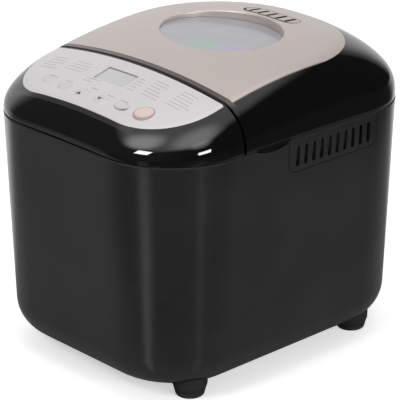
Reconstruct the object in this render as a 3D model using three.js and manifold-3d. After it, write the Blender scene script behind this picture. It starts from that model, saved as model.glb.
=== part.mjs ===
// Bread machine with a domed lid, a removable bread pan and a belt-driven kneading paddle.
// Millimetres, +Z up, +X the machine's right, -Y its front. The origin lies on the ground,
// under the middle of the body.
import * as THREE from 'three';
import { mergeVertices } from 'three/addons/utils/BufferGeometryUtils.js';
import Module from 'manifold-3d';

const wasm = await Module();
wasm.setup();

// ---------------------------------------------------------------- driving dimensions

const GAP = 0.3; // between pieces that touch
const RUNNING_CLEARANCE = 0.06; // round a shaft or pin that turns

// body
const BODY_WIDTH = 277;
const BODY_DEPTH = 340;
const CORNER_RADIUS = 83;
const SEAM_Z = 235;
const FOOT_HEIGHT = 12.5;
const BODY_DRAFT = 0.0356; // inward lean per mm below the seam
const BOTTOM_RADIUS = 31.7;
const WALL = 2.5;
const HALF_WIDTH = BODY_WIDTH / 2;
const FRONT_Y = -BODY_DEPTH / 2;
const REAR_Y = BODY_DEPTH / 2;

// crown: the domed top that the lid and the control panel share
const CROWN_HEIGHT = 64.2;
const CROWN_RISE = 14.4; // tilt up towards the rear
const CROWN_SAG = 27.3; // fall towards the front and rear edges
const CROWN_CAMBER = 14.3; // fall towards the side edges
const SIDE_SHOULDER = 28.6;
const FRONT_SHOULDER = 23.1;
const REAR_SHOULDER = 47.4;
const CROWN_FRONT_RADIUS = 58;
const CROWN_REAR_RADIUS = HALF_WIDTH - 36.5;
const SKIN = 4.5; // lid and bezel thickness under the top surface
const SPLIT_Y = FRONT_Y + 93.9; // joint between the control bezel and the lid
const SPLIT_WIDTH = 2.8;

// lid panel and its window and vent
const PANEL_SHARE = 0.8; // share of the shoulder outside the panel
const PANEL_FRONT_Y = SPLIT_Y + 6.5;
const PANEL_THICKNESS = 2;
const PANEL_CORNER = 4;
const WINDOW_Y = REAR_Y - 143.5;
const WINDOW_HALF_X = 63.3;
const WINDOW_HALF_Y = 52.9;
const WINDOW_RECESS_FRONT = 0.8;
const WINDOW_RECESS_REAR = 8.7;
const GLASS_THICKNESS = 3;
const COLLAR_WALL = 2.2;
const WINDOW_LEDGE = 5;
const CARRIER_WALL = 1.5; // of the window carrier, round the glass
const CARRIER_FLOOR = 3; // and under it
const DUCT_WALL = 2;
const VENT_X = 0;
const VENT_Y = REAR_Y - 76.4;
const VENT_LENGTH = 69;
const VENT_WIDTH = 20;
const VENT_THICKNESS = 3.5;
const VENT_LEDGE_WIDTH = 2;
const VENT_SLOTS = 5;
const VENT_SLOT_PITCH = 12;
const VENT_SLOT_WIDTH = 3;
const VENT_SLOT_LENGTH = 12.5;

// control panel
const OVERLAY_SHARE = 0.86;
const OVERLAY_THICKNESS = 1.2;
const OVERLAY_REAR_MARGIN = 1.6;
const PANEL_TILT = 0.31; // radians, front down
const PANEL_ORIGIN_Y = FRONT_Y + 52;
const LCD_X = -3;
const LCD_Y = FRONT_Y + 67;
const LCD_WIDTH = 41;
const LCD_HEIGHT = 21;
const LCD_RECESS = 2;
const LENS_THICKNESS = 1.4;
const LCD_MODULE_MARGIN = 1;
const LCD_MODULE_DROP = 2.5; // below the lens
const LCD_FRAME_DEPTH = 6; // of the opening under the bezel's skin
const KEY_PITCH = (BODY_WIDTH - 17) / 10;
const KEY_ROW_Y = FRONT_Y + 34.7;
const KEY_ROW_BOW = 0.0013; // the row curves back towards its ends
const KEY_HALF_X = 8.5;
const KEY_HALF_Y = 5.5;
const KEY_PROUD = 0.4;
const KEY_DEPTH = 11;
const KEY_FLANGE = 1.2;
const START_KEY_RADIUS = 10;
const KEY_TRAVEL = 0.8;
const BOARD_DEPTH = 14.4;
const BOARD_THICKNESS = 1.6;
const BOARD_HALF_X = HALF_WIDTH - 50.5;
const BOARD_HALF_Y = 27;
const BOARD_POST_RADIUS = 3;
const SWITCH_SIZE = 6;

// side grilles, finger lips
const NOTCH_Y = SPLIT_Y + 35.1;
const GRILLE_FRONT_Y = NOTCH_Y + 19.6;
const GRILLE_REAR_Y = REAR_Y - 74.6;
const GRILLE_BOTTOM_Z = SEAM_Z - 32;
const GRILLE_CORNER = 10;
const GRILLE_SLOTS = 10;
const GRILLE_END = 12.05; // from the insert's edge to the middle of its first slot
const GRILLE_SLOT_WIDTH = 3.6;
const GRILLE_SLOT_BOTTOM = GRILLE_BOTTOM_Z + 5.5;
const GRILLE_SLOT_TOP = SEAM_Z - 7.2;
const NOTCH_HALF_LENGTH = 21;
const NOTCH_DEPTH = 4;
const LIP_CLEARANCE = 1.7;

// underside
const FOOT_X = HALF_WIDTH - 38.8;
const FOOT_Y = REAR_Y - 62.7;
const FOOT_TOP_RADIUS = 16.4;
const FOOT_BASE_RADIUS = 13.6;
const FOOT_EDGE = 1.5;
const FOOT_SOCKET = 10; // how far a foot reaches up the rounded bottom edge
const BASE_HALF_X = HALF_WIDTH - 58.5;
const BASE_HALF_Y = REAR_Y - 50;
const BASE_CORNER = 24;
const BASE_FLANGE = 7;
const BASE_FLANGE_THICKNESS = 2;
const BASE_SLOTS = 7;
const BASE_SLOT_PITCH = 12;
const BASE_SLOT_LENGTH = 46;
const BASE_SLOT_WIDTH = 4;

// chassis and drive
const CHAMBER_REAR_Y = REAR_Y - 48; // inner face of the chamber's rear wall
const CHAMBER_FRONT_Y = SPLIT_Y + 22.1; // and of its front wall
const CHAMBER_Y = (CHAMBER_REAR_Y + CHAMBER_FRONT_Y) / 2;
const MOTOR_Y = FRONT_Y + 58;
const CHASSIS_Z = 58; // top face of the chassis plate
const CHASSIS_THICKNESS = 2;
const CHASSIS_HALF_X = HALF_WIDTH - 46.5;
const CHASSIS_FRONT_Y = FRONT_Y + 22;
const CHASSIS_REAR_Y = REAR_Y - 42;
const CHASSIS_CORNER = 45;
const LEG_X = BASE_HALF_X - 12;
const LEG_Y = BASE_HALF_Y - 14;
const LEG_RADIUS = 6;
const MOTOR_HOLE_MARGIN = 3; // round the motor's shaft, in the chassis
const SCREW_RADIUS = 1.8;
const SCREW_LENGTH = 16;
const SCREW_HEAD_RADIUS = 3.6;
const SCREW_HEAD_HEIGHT = 1.6;
const BELT_Z = CHASSIS_Z - 28;
const PULLEY_WIDTH = 10;
const DRIVE_PULLEY_RADIUS = 45;
const MOTOR_PULLEY_RADIUS = 8.5;
const PULLEY_RIM = 5;
const PULLEY_WEB = 3;
const BELT_WIDTH = 7;
const BELT_THICKNESS = 1.6;
const SHAFT_RADIUS = 5;
const MOTOR_RADIUS = 36;
const MOTOR_HEIGHT = 64;
const MOTOR_SHAFT_RADIUS = 4;
const MOTOR_SHAFT_DEPTH = 19; // inside the motor
const MOTOR_LIP = 3;
const BEARING_RADIUS = 11;
const BEARING_BOTTOM_Z = BELT_Z + 11;
const BEARING_TOP_Z = CHASSIS_Z + 17.4;
const BEARING_FLANGE_RADIUS = 26;
const COUPLING_RADIUS = 14;
const COUPLING_DISC = 4;
const COUPLING_DOG_HEIGHT = 7;
const COUPLING_DOG_WIDTH = 8;
const COUPLING_DOG_REACH = 13;
const COUPLING_DOG_START = 6.5; // from the axis
const COUPLING_CLEARANCE = 1; // between a dog's tip and the other half's disc
const PRESS_GAP = 0.05; // between pressed-on parts

// oven chamber, element and deck
const CHAMBER_LIFT = 4; // floor above the chassis plate
const CHAMBER_HALF_X = HALF_WIDTH - 38.5;
const CHAMBER_HALF_Y = (CHAMBER_REAR_Y - CHAMBER_FRONT_Y) / 2;
const CHAMBER_CORNER = 26;
const CHAMBER_TOP_Z = SEAM_Z - 9;
const SHEET = 1.5;
const CHAMBER_FLANGE = 6;
const ELEMENT_Z = CHASSIS_Z + 24;
const ELEMENT_HALF_X = CHAMBER_HALF_X - 10;
const ELEMENT_HALF_Y = CHAMBER_HALF_Y - 11;
const ELEMENT_CORNER = 24;
const ELEMENT_RADIUS = 3.2;
const ELEMENT_TERMINAL_X = 18;
const ELEMENT_TERMINAL_LENGTH = 10;
const ELEMENT_BEND = 8;
const CLIP_HALF_WIDTH = 6;
const CLIP_RISE = 14; // above the element
const DECK_TOP_Z = SEAM_Z - 3;
const DECK_LIP = 2; // of the deck, over the chamber's wall
const DECK_FRONT_Y = SPLIT_Y - 23.9;
const SENSOR_Z = CHASSIS_Z + 62;
const SENSOR_RADIUS = 3;
const SENSOR_LENGTH = 26;
const SENSOR_TAIL = 12; // in front of the chamber's wall
const SENSOR_COLLAR = 3;
const SENSOR_X = CHAMBER_HALF_X / 2;

// bread pan and paddle
const PAN_HALF_X = CHAMBER_HALF_X - 20;
const PAN_HALF_Y = CHAMBER_HALF_Y - 25;
const PAN_TAPER = 5;
const PAN_CORNER = 22;
const COUPLING_HEIGHT = 2 * COUPLING_DISC + COUPLING_DOG_HEIGHT + COUPLING_CLEARANCE;
const PAN_BOTTOM_Z = BEARING_TOP_Z + COUPLING_HEIGHT + 2 * GAP;
const PAN_TOP_Z = CHAMBER_TOP_Z - 12;
const PAN_RIM = 2.5;
const PAN_FLOOR = 2;
const SEAT_RADIUS = 40;
const SEAT_RIM = 3.3;
const SEAT_FLOOR_TOP_Z = CHASSIS_Z + 12;
const SEAT_TOP_Z = SEAT_FLOOR_TOP_Z + 6;
const SEAT_BORE_MARGIN = 3; // round the bearing housing
const BASE_RING_WALL = 4;
const BAIL_PIVOT_Z = PAN_TOP_Z - 7;
const BAIL_REACH = PAN_HALF_Y + 9;
const BAIL_REST_ANGLE = 0.436; // radians below the level
const BAIL_RADIUS = 2;
const BAIL_HALF_WIDTH = PAN_HALF_X + 11;
const BAIL_BEND = 10;
const BAIL_TIP_GAP = 0.5;
const EAR_OFFSET = 1; // outside the bail's tip
const EAR_THICKNESS = 1.5;
const EAR_HALF_WIDTH = 7;
const PADDLE_SHAFT_TOP_Z = PAN_BOTTOM_Z + 32;
const PADDLE_SHAFT_RADIUS = 4;
const SEAL_HEIGHT = 3.5;
const SEAL_RADIUS = 9;
const SEAL_LIP = 2;
const PADDLE_HUB_RADIUS = 8;
const PADDLE_HUB_HEIGHT = 26;
const PADDLE_REACH = 46;
const PADDLE_BLADE = 5;
const PADDLE_BLADE_HEIGHT = 20;
const PADDLE_TIP = 2; // thickness of the blade's tip
const PADDLE_HUB_TAPER = 1.5;

// lid underside and hinge
const LINER_Z = DECK_TOP_Z + 5;
const LINER_THICKNESS = 1.2;
const LINER_MARGIN = 8;
const GASKET_WIDTH = 5;
const GASKET_MARGIN = 1; // outside the deck's opening
const LID_POST_X = CHAMBER_HALF_X - 6;
const LID_POST_REACH_Y = CHAMBER_HALF_Y - 8;
const LID_POST_RADIUS = 4;
const HINGE_RADIUS = 4;
const HINGE_Y = REAR_Y - HINGE_RADIUS;
const HINGE_Z = SEAM_Z + 5;
const HINGE_X = HALF_WIDTH - 96.5;
const HINGE_LUG_WIDTH = 20;
const HINGE_EAR_WIDTH = 6;
const HINGE_PIN_RADIUS = 1.6;
const HINGE_SKIRT_HALF_WIDTH = HALF_WIDTH - 54.5;
const HINGE_SKIRT_LIFT = 3.5;
const HINGE_WEB_DEPTH = 9;
const HINGE_WEB_HEIGHT = 12;
const HINGE_SWING_GAP = 1; // round the barrels
const HINGE_SKIRT_DEPTH = 20; // in front of the hinge

// mains parts
const GLAND_X = 70;
const GLAND_Z = 52;
const GLAND_RADIUS = 7;
const GLAND_PROUD = 3;
const GLAND_BORE = 3.5;
const GLAND_FLANGE = 2;
const GLAND_NECK = 8; // behind the housing's wall
const CAPACITOR_X = 62;
const CAPACITOR_RADIUS = 14;
const CAPACITOR_HEIGHT = 38;
const POWER_BOARD_X = -62;
const POWER_BOARD_HALF_Y = 31;
const POWER_BOARD_Y = FRONT_Y + 59;
const POWER_BOARD_HEIGHT = 80;
// what stands on the power board: reach from the card, y from its middle, z from its foot
const TRANSFORMER = { reach: 26, front: -14, rear: 16, bottom: 8, top: 36 };
const RELAY = { reach: 16, front: -20, rear: 0, bottom: 46, top: 66 };
const FILTER_CHOKE = { reach: 12, front: 6, rear: 26, bottom: 44, top: 72 };

// ---------------------------------------------------------------- solids

const ROUND = 24; // sides of a full circle
const BELT_STEPS = 6; // facets in a quarter of the belt's wraps
const PEG = 12; // sides of a screw, post or small bore
const FOOT_SIDES = 18;
const KEY_SIDES = 16;
const NOTCH_SIDES = 96; // the notch is a short arc of a large circle
const CORNER_STEPS = 6; // facets in a corner of the body
const SMALL_CORNER_STEPS = 4; // facets in any other corner
const EDGE_STEPS = 2; // facets along a straight edge of the crown
const BOTTOM_STEPS = 4; // facets in the rounded bottom edge
const OUTER_FACETS = { corner: CORNER_STEPS, edge: EDGE_STEPS, shoulder: 5, shrinks: [0.72, 0.4] };
const HOLLOW_FACETS = { corner: 3, edge: 1, shoulder: 2, shrinks: [0.5] }; // unseen undersides
const HIGH = 340; // above everything
const PAST = 20; // how far a cutting solid runs past what it cuts
const BITE = 1; // how far joined solids run into each other
const ROD_STEPS = 40; // lengths in a bent rod

function solidOf(geometry) {
  geometry.deleteAttribute('normal');
  geometry.deleteAttribute('uv');
  const closed = mergeVertices(geometry, 1e-4);
  return new wasm.Manifold(new wasm.Mesh({
    numProp: 3,
    vertProperties: new Float32Array(closed.attributes.position.array),
    triVerts: new Uint32Array(closed.index.array),
  }));
}

function box(x0, x1, y0, y1, z0, z1) {
  const geometry = new THREE.BoxGeometry(x1 - x0, y1 - y0, z1 - z0);
  geometry.translate((x0 + x1) / 2, (y0 + y1) / 2, (z0 + z1) / 2);
  return solidOf(geometry);
}

function cylinder(radius, z0, z1, x = 0, y = 0, sides = ROUND) {
  const geometry = new THREE.CylinderGeometry(radius, radius, z1 - z0, sides);
  geometry.rotateX(Math.PI / 2);
  geometry.translate(x, y, (z0 + z1) / 2);
  return solidOf(geometry);
}

function cylinderAlongX(radius, x0, x1, y, z, sides = ROUND) {
  const geometry = new THREE.CylinderGeometry(radius, radius, x1 - x0, sides);
  geometry.rotateZ(Math.PI / 2);
  geometry.translate((x0 + x1) / 2, y, z);
  return solidOf(geometry);
}

function cylinderAlongY(radius, y0, y1, x, z, sides = ROUND) {
  const geometry = new THREE.CylinderGeometry(radius, radius, y1 - y0, sides);
  geometry.translate(x, (y0 + y1) / 2, z);
  return solidOf(geometry);
}

// profile: [radius, z] pairs, from the bottom of the axis outside and back, or closed on itself
function turned(profile, x = 0, y = 0, sides = ROUND) {
  const geometry = new THREE.LatheGeometry(profile.map(([r, z]) => new THREE.Vector2(r, z)), sides);
  geometry.rotateX(Math.PI / 2);
  geometry.translate(x, y, 0);
  return solidOf(geometry);
}

function extruded(points, depth) {
  return new THREE.ExtrudeGeometry(new THREE.Shape(points), { depth, bevelEnabled: false });
}

function prism(points, z0, z1) {
  const geometry = extruded(points, z1 - z0);
  geometry.translate(0, 0, z0);
  return solidOf(geometry);
}

// profile in (y, z), from x0 to x1
function prismAlongX(points, x0, x1) {
  const geometry = extruded(points, x1 - x0);
  geometry.rotateX(Math.PI / 2);
  geometry.rotateZ(Math.PI / 2);
  geometry.translate(x0, 0, 0);
  return solidOf(geometry);
}

function joined(first, ...others) {
  return others.reduce((sum, solid) => sum.add(solid), first);
}

function cut(first, ...others) {
  return others.reduce((rest, solid) => rest.subtract(solid), first);
}

// a round rod of the given radius along a smooth path through the points
function bentRod(points, radius) {
  const section = new THREE.Shape();
  section.absarc(0, 0, radius, 0, 2 * Math.PI);
  const geometry = new THREE.ExtrudeGeometry(new THREE.Shape(section.getPoints(3).slice(0, -1)), {
    steps: ROD_STEPS,
    extrudePath: new THREE.CatmullRomCurve3(points, false, 'centripetal'),
  });
  return solidOf(geometry);
}

function mirroredX(points) {
  return points.map((p) => new THREE.Vector3(-p.x, p.y, p.z)).reverse();
}

// a closed solid through rings of equal point count, with a middle point in each end
function loft(rings) {
  const count = rings[0].length;
  const middle = (ring) => ring.reduce((sum, p) => sum.add(p), new THREE.Vector3()).divideScalar(count);
  const points = [...rings.flat(), middle(rings[0]), middle(rings.at(-1))];
  const index = [];
  for (let k = 0; k + 1 < rings.length; k += 1) {
    for (let i = 0; i < count; i += 1) {
      const a = k * count + i;
      const b = k * count + ((i + 1) % count);
      index.push(a, b, b + count, a, b + count, a + count);
    }
  }
  const top = (rings.length - 1) * count;
  const low = points.length - 2;
  for (let i = 0; i < count; i += 1) {
    const next = (i + 1) % count;
    index.push(low, next, i, low + 1, top + i, top + next);
  }
  const geometry = new THREE.BufferGeometry().setFromPoints(points);
  geometry.setIndex(index);
  return solidOf(geometry);
}

// ---------------------------------------------------------------- plan outlines

// counter-clockwise outline with its own front and rear corner radii
function outline(plan, cornerSteps = CORNER_STEPS, edgeSteps = 1) {
  const { halfX, front, rear, frontRadius, rearRadius } = plan;
  const corners = [
    [halfX - frontRadius, front + frontRadius, frontRadius, -Math.PI / 2],
    [halfX - rearRadius, rear - rearRadius, rearRadius, 0],
    [rearRadius - halfX, rear - rearRadius, rearRadius, Math.PI / 2],
    [frontRadius - halfX, front + frontRadius, frontRadius, Math.PI],
  ];
  const arcs = corners.map(([x, y, radius, start]) => {
    const arc = new THREE.EllipseCurve(x, y, radius, radius, start, start + Math.PI / 2);
    return arc.getPoints(cornerSteps);
  });
  return arcs.flatMap((arc, k) => {
    const next = arcs[(k + 1) % arcs.length][0];
    const last = arc.at(-1);
    const edge = [];
    for (let i = 1; i < edgeSteps; i += 1) edge.push(last.clone().lerp(next, i / edgeSteps));
    return [...arc, ...edge];
  });
}

function roundedRectangle(halfX, halfY, radius, y = 0, cornerSteps = SMALL_CORNER_STEPS) {
  const plan = { halfX, front: y - halfY, rear: y + halfY, frontRadius: radius, rearRadius: radius };
  return outline(plan, cornerSteps);
}

function ellipse(halfX, halfY, y) {
  return new THREE.EllipseCurve(0, y, halfX, halfY, 0, 2 * Math.PI).getPoints(ROUND).slice(0, -1);
}

function capsule(length, width, x, y) {
  const shape = new THREE.Shape();
  const half = (length - width) / 2;
  shape.absarc(x + half, y, width / 2, -Math.PI / 2, Math.PI / 2);
  shape.absarc(x - half, y, width / 2, Math.PI / 2, (3 * Math.PI) / 2);
  return shape.getPoints(SMALL_CORNER_STEPS);
}

function ringAt(points, z) {
  return points.map((p) => new THREE.Vector3(p.x, p.y, z));
}

// ---------------------------------------------------------------- body and crown surfaces

function bodyRing(z, inset) {
  const radius = BOTTOM_RADIUS - inset;
  const below = THREE.MathUtils.clamp(radius - (z - FOOT_HEIGHT - inset), 0, radius);
  const tuck = radius - Math.sqrt(radius * radius - below * below);
  const lean = BODY_DRAFT * (SEAM_Z - z) + inset + tuck;
  const [halfX, halfY] = [HALF_WIDTH - lean, REAR_Y - lean];
  return ringAt(roundedRectangle(halfX, halfY, CORNER_RADIUS - lean, 0, CORNER_STEPS), z);
}

// the body's outer form, drawn in by inset all round, up to topZ
function bodyForm(inset, topZ) {
  const radius = BOTTOM_RADIUS - inset;
  const rings = [];
  for (let k = 0; k <= BOTTOM_STEPS; k += 1) {
    const rise = radius * (1 - Math.cos((k / BOTTOM_STEPS) * (Math.PI / 2)));
    rings.push(bodyRing(FOOT_HEIGHT + inset + rise, inset));
  }
  rings.push(bodyRing(topZ, inset));
  return loft(rings);
}

function crownTop(x, y) {
  const v = (2 * y) / BODY_DEPTH;
  const u = (2 * x) / BODY_WIDTH;
  return SEAM_Z + CROWN_HEIGHT + CROWN_RISE * v - CROWN_SAG * v * v - CROWN_CAMBER * u * u;
}

// plan outline at a share of the way across the shoulder, with margin taken off all round
function crownOutline(share, margin = 0) {
  return {
    halfX: HALF_WIDTH - SIDE_SHOULDER * share - margin,
    front: FRONT_SHOULDER * share + margin + FRONT_Y,
    rear: REAR_Y - REAR_SHOULDER * share - margin,
    frontRadius: CORNER_RADIUS + (CROWN_FRONT_RADIUS - CORNER_RADIUS) * share - margin,
    rearRadius: CORNER_RADIUS + (CROWN_REAR_RADIUS - CORNER_RADIUS) * share - margin,
  };
}

// the crown's form, drawn in by inset at its walls and lowered by drop on top
function crownForm(inset, drop, floorZ, facets = OUTER_FACETS) {
  const ring = (share) => outline(crownOutline(share, inset), facets.corner, facets.edge);
  const rings = [ringAt(ring(0), floorZ)];
  for (let k = 0; k <= facets.shoulder; k += 1) {
    const share = (k / facets.shoulder) ** 3;
    const height = Math.cbrt(1 - (1 - share) ** 1.5);
    rings.push(ring(share).map((p) => {
      const z = SEAM_Z + height * (crownTop(p.x, p.y) - drop - SEAM_Z);
      return new THREE.Vector3(p.x, p.y, z);
    }));
  }
  const edge = rings.at(-1);
  const middle = new THREE.Vector3(0, (REAR_SHOULDER - FRONT_SHOULDER) / -2, 0);
  for (const shrink of facets.shrinks) {
    rings.push(edge.map((p) => {
      const q = p.clone().lerp(middle, 1 - shrink);
      return q.setZ(crownTop(q.x, q.y) - drop);
    }));
  }
  return loft(rings);
}

const CROWN = crownForm(0, 0, SEAM_Z + GAP);

function crownSlab(points, topDrop, bottomDrop) {
  const column = prism(points, SEAM_Z, HIGH);
  const upper = topDrop === 0 ? CROWN : crownForm(0, topDrop, SEAM_Z + GAP);
  return column.intersect(upper).subtract(crownForm(0, bottomDrop, SEAM_Z - WALL));
}

const HOUSING_WALL = bodyForm(0, SEAM_Z).subtract(bodyForm(WALL, SEAM_Z + WALL));

// ---------------------------------------------------------------- the group

const machine = new THREE.Group();

function material(color, roughness, metalness) {
  return new THREE.MeshStandardMaterial({ color, roughness, metalness });
}

const MATTE_BLACK = material(0x2f2e2f, 0.55, 0);
const GLOSS_BLACK = material(0x121213, 0.08, 0);
const CHAMPAGNE = material(0xc3b7b1, 0.38, 0.6);
const PANEL_GREY = material(0xd4d0d2, 0.45, 0.1);
const RUBBER = material(0x1b1b1c, 0.85, 0);
const GLASS = material(0xb4b6bc, 0.05, 0);
const STEEL = material(0xb9bbbd, 0.35, 1);
const ALUMINIUM = material(0xc6c7c8, 0.4, 1);
const NONSTICK = material(0x3a3a3c, 0.4, 0.3);
const DARK_PLASTIC = material(0x242425, 0.6, 0);
const GREEN_BOARD = material(0x2f5a3c, 0.5, 0);
const SILICONE = material(0xa9402f, 0.7, 0);

function add(name, solid, look) {
  const { vertProperties, triVerts } = solid.getMesh();
  const geometry = new THREE.BufferGeometry();
  geometry.setAttribute('position', new THREE.BufferAttribute(vertProperties, 3));
  geometry.setIndex(new THREE.BufferAttribute(triVerts, 1));
  geometry.computeVertexNormals();
  const mesh = new THREE.Mesh(geometry, look);
  mesh.name = name;
  machine.add(mesh);
  return mesh;
}

const SIDES = [['left', -1], ['right', 1]];

// ---------------------------------------------------------------- housing, grilles, base, feet

const NOTCH_RADIUS = (NOTCH_HALF_LENGTH ** 2 + NOTCH_DEPTH ** 2) / (2 * NOTCH_DEPTH);
const NOTCH_CENTRE_Z = SEAM_Z - NOTCH_DEPTH + NOTCH_RADIUS;

function notchCylinder(radius) {
  return cylinderAlongX(radius, -BODY_WIDTH, BODY_WIDTH, NOTCH_Y, NOTCH_CENTRE_Z, NOTCH_SIDES);
}

function grilleBlock(side, margin) {
  const front = GRILLE_FRONT_Y - margin;
  const rear = GRILLE_REAR_Y + margin;
  const bottom = GRILLE_BOTTOM_Z - margin;
  const radius = GRILLE_CORNER + margin;
  const shape = new THREE.Shape();
  shape.moveTo(rear, SEAM_Z + BITE);
  shape.lineTo(front, SEAM_Z + BITE);
  shape.absarc(front + radius, bottom + radius, radius, Math.PI, 1.5 * Math.PI);
  shape.absarc(rear - radius, bottom + radius, radius, 1.5 * Math.PI, 2 * Math.PI);
  const inner = HALF_WIDTH / 2;
  const outer = HALF_WIDTH + WALL;
  const [x0, x1] = side > 0 ? [inner, outer] : [-outer, -inner];
  return prismAlongX(shape.getPoints(4), x0, x1);
}

function grille(side) {
  let plate = HOUSING_WALL.intersect(grilleBlock(side, -GAP));
  const pitch = (GRILLE_REAR_Y - GRILLE_FRONT_Y - 2 * GRILLE_END) / (GRILLE_SLOTS - 1);
  const x = side * HALF_WIDTH;
  for (let k = 0; k < GRILLE_SLOTS; k += 1) {
    const y = GRILLE_FRONT_Y + GRILLE_END + k * pitch;
    const half = GRILLE_SLOT_WIDTH / 2;
    plate = plate.subtract(
      box(x - PAST, x + PAST, y - half, y + half, GRILLE_SLOT_BOTTOM, GRILLE_SLOT_TOP),
    );
  }
  return plate;
}

const BASE_OUTLINE = roundedRectangle(BASE_HALF_X, BASE_HALF_Y, BASE_CORNER);
const BASE_OPENING = roundedRectangle(BASE_HALF_X + GAP, BASE_HALF_Y + GAP, BASE_CORNER + GAP);
const FLOOR_Z = FOOT_HEIGHT + WALL; // inner face of the housing's bottom
const BASE_TOP_Z = FLOOR_Z + GAP + BASE_FLANGE_THICKNESS;

function wallY(z) {
  return REAR_Y - BODY_DRAFT * (SEAM_Z - z);
}

function housing() {
  const glandWall = wallY(GLAND_Z);
  return cut(
    HOUSING_WALL,
    prism(BASE_OPENING, 0, FLOOR_Z + BITE),
    notchCylinder(NOTCH_RADIUS),
    grilleBlock(1, 0),
    grilleBlock(-1, 0),
    cylinderAlongY(GLAND_RADIUS + GAP, glandWall - PAST, glandWall + PAST, GLAND_X, GLAND_Z),
  );
}

const LEGS = [[-1, -1], [1, -1], [1, 1], [-1, 1]].map(([a, b]) => [a * LEG_X, b * LEG_Y]);

function basePlate() {
  const flange = roundedRectangle(
    BASE_HALF_X + BASE_FLANGE,
    BASE_HALF_Y + BASE_FLANGE,
    BASE_CORNER + BASE_FLANGE,
  );
  let plate = joined(
    prism(BASE_OUTLINE, FOOT_HEIGHT + GAP, BASE_TOP_Z),
    prism(flange, FLOOR_Z + GAP, BASE_TOP_Z),
  );
  for (let k = 0; k < BASE_SLOTS; k += 1) {
    const y = CHAMBER_Y + (k - (BASE_SLOTS - 1) / 2) * BASE_SLOT_PITCH;
    const halfX = BASE_SLOT_LENGTH / 2;
    const halfY = BASE_SLOT_WIDTH / 2;
    plate = plate.subtract(box(-halfX, halfX, y - halfY, y + halfY, 0, HIGH));
  }
  for (const [x, y] of LEGS) {
    plate = cut(
      plate,
      cylinder(SCREW_RADIUS + GAP, 0, HIGH, x, y, PEG),
      cylinder(SCREW_HEAD_RADIUS + GAP, 0, FOOT_HEIGHT + GAP + SCREW_HEAD_HEIGHT, x, y, PEG),
    );
  }
  return plate;
}

function screw(x, y) {
  const bottom = FOOT_HEIGHT;
  return joined(
    cylinder(SCREW_HEAD_RADIUS, bottom, bottom + SCREW_HEAD_HEIGHT, x, y, PEG),
    cylinder(SCREW_RADIUS, bottom + BITE, bottom + SCREW_LENGTH, x, y, PEG),
  );
}

// a tapered rubber foot whose top follows the rounded bottom edge of the housing
function foot(x, y) {
  const cone = turned([
    [0, 0],
    [FOOT_BASE_RADIUS - FOOT_EDGE, 0],
    [FOOT_BASE_RADIUS, FOOT_EDGE],
    [FOOT_TOP_RADIUS, FOOT_HEIGHT - FOOT_EDGE],
    [FOOT_TOP_RADIUS, FOOT_HEIGHT + FOOT_SOCKET],
    [0, FOOT_HEIGHT + FOOT_SOCKET],
  ], x, y, FOOT_SIDES);
  return cone.subtract(bodyForm(-GAP, SEAM_Z));
}

add('outer_housing', housing(), MATTE_BLACK);
for (const [word, side] of SIDES) add(`vent_grille_${word}`, grille(side), MATTE_BLACK);
add('base_plate', basePlate(), DARK_PLASTIC);
for (const [k, [x, y]] of LEGS.entries()) add(`base_screw_${k + 1}`, screw(x, y), STEEL);
for (const [word, side] of SIDES) {
  add(`foot_front_${word}`, foot(side * FOOT_X, -FOOT_Y), RUBBER);
  add(`foot_rear_${word}`, foot(side * FOOT_X, FOOT_Y), RUBBER);
}

// ---------------------------------------------------------------- chassis and drive train

const CHAMBER_FLOOR_Z = CHASSIS_Z + CHAMBER_LIFT;

function chassis() {
  const plan = outline({
    halfX: CHASSIS_HALF_X,
    front: CHASSIS_FRONT_Y,
    rear: CHASSIS_REAR_Y,
    frontRadius: CHASSIS_CORNER,
    rearRadius: CHASSIS_CORNER,
  }, SMALL_CORNER_STEPS);
  let frame = prism(plan, CHASSIS_Z - CHASSIS_THICKNESS, CHASSIS_Z);
  for (const [x, y] of LEGS) {
    const screwTop = FOOT_HEIGHT + SCREW_LENGTH + GAP;
    frame = frame.add(cylinder(LEG_RADIUS, BASE_TOP_Z + GAP, CHASSIS_Z - BITE, x, y, PEG));
    frame = frame.subtract(cylinder(SCREW_RADIUS + GAP, 0, screwTop, x, y, PEG));
  }
  for (const [a, b] of [[-1, -1], [1, -1], [1, 1], [-1, 1]]) {
    const x = a * (CHAMBER_HALF_X - CHAMBER_CORNER);
    const y = CHAMBER_Y + b * (CHAMBER_HALF_Y - CHAMBER_CORNER);
    frame = frame.add(cylinder(LEG_RADIUS, CHASSIS_Z - BITE, CHAMBER_FLOOR_Z - GAP, x, y, PEG));
  }
  return cut(
    frame,
    cylinder(BEARING_RADIUS + GAP, 0, CHAMBER_FLOOR_Z, 0, CHAMBER_Y),
    cylinder(MOTOR_SHAFT_RADIUS + MOTOR_HOLE_MARGIN, 0, CHAMBER_FLOOR_Z, 0, MOTOR_Y),
  );
}

function bearingHousing() {
  const bore = SHAFT_RADIUS + RUNNING_CLEARANCE;
  const flangeTop = CHAMBER_FLOOR_Z - GAP;
  return turned([
    [bore, BEARING_BOTTOM_Z],
    [BEARING_RADIUS, BEARING_BOTTOM_Z],
    [BEARING_RADIUS, CHASSIS_Z + GAP],
    [BEARING_FLANGE_RADIUS, CHASSIS_Z + GAP],
    [BEARING_FLANGE_RADIUS, flangeTop],
    [BEARING_RADIUS, flangeTop],
    [BEARING_RADIUS, BEARING_TOP_Z],
    [bore, BEARING_TOP_Z],
    [bore, BEARING_BOTTOM_Z],
  ], 0, CHAMBER_Y);
}

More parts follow.
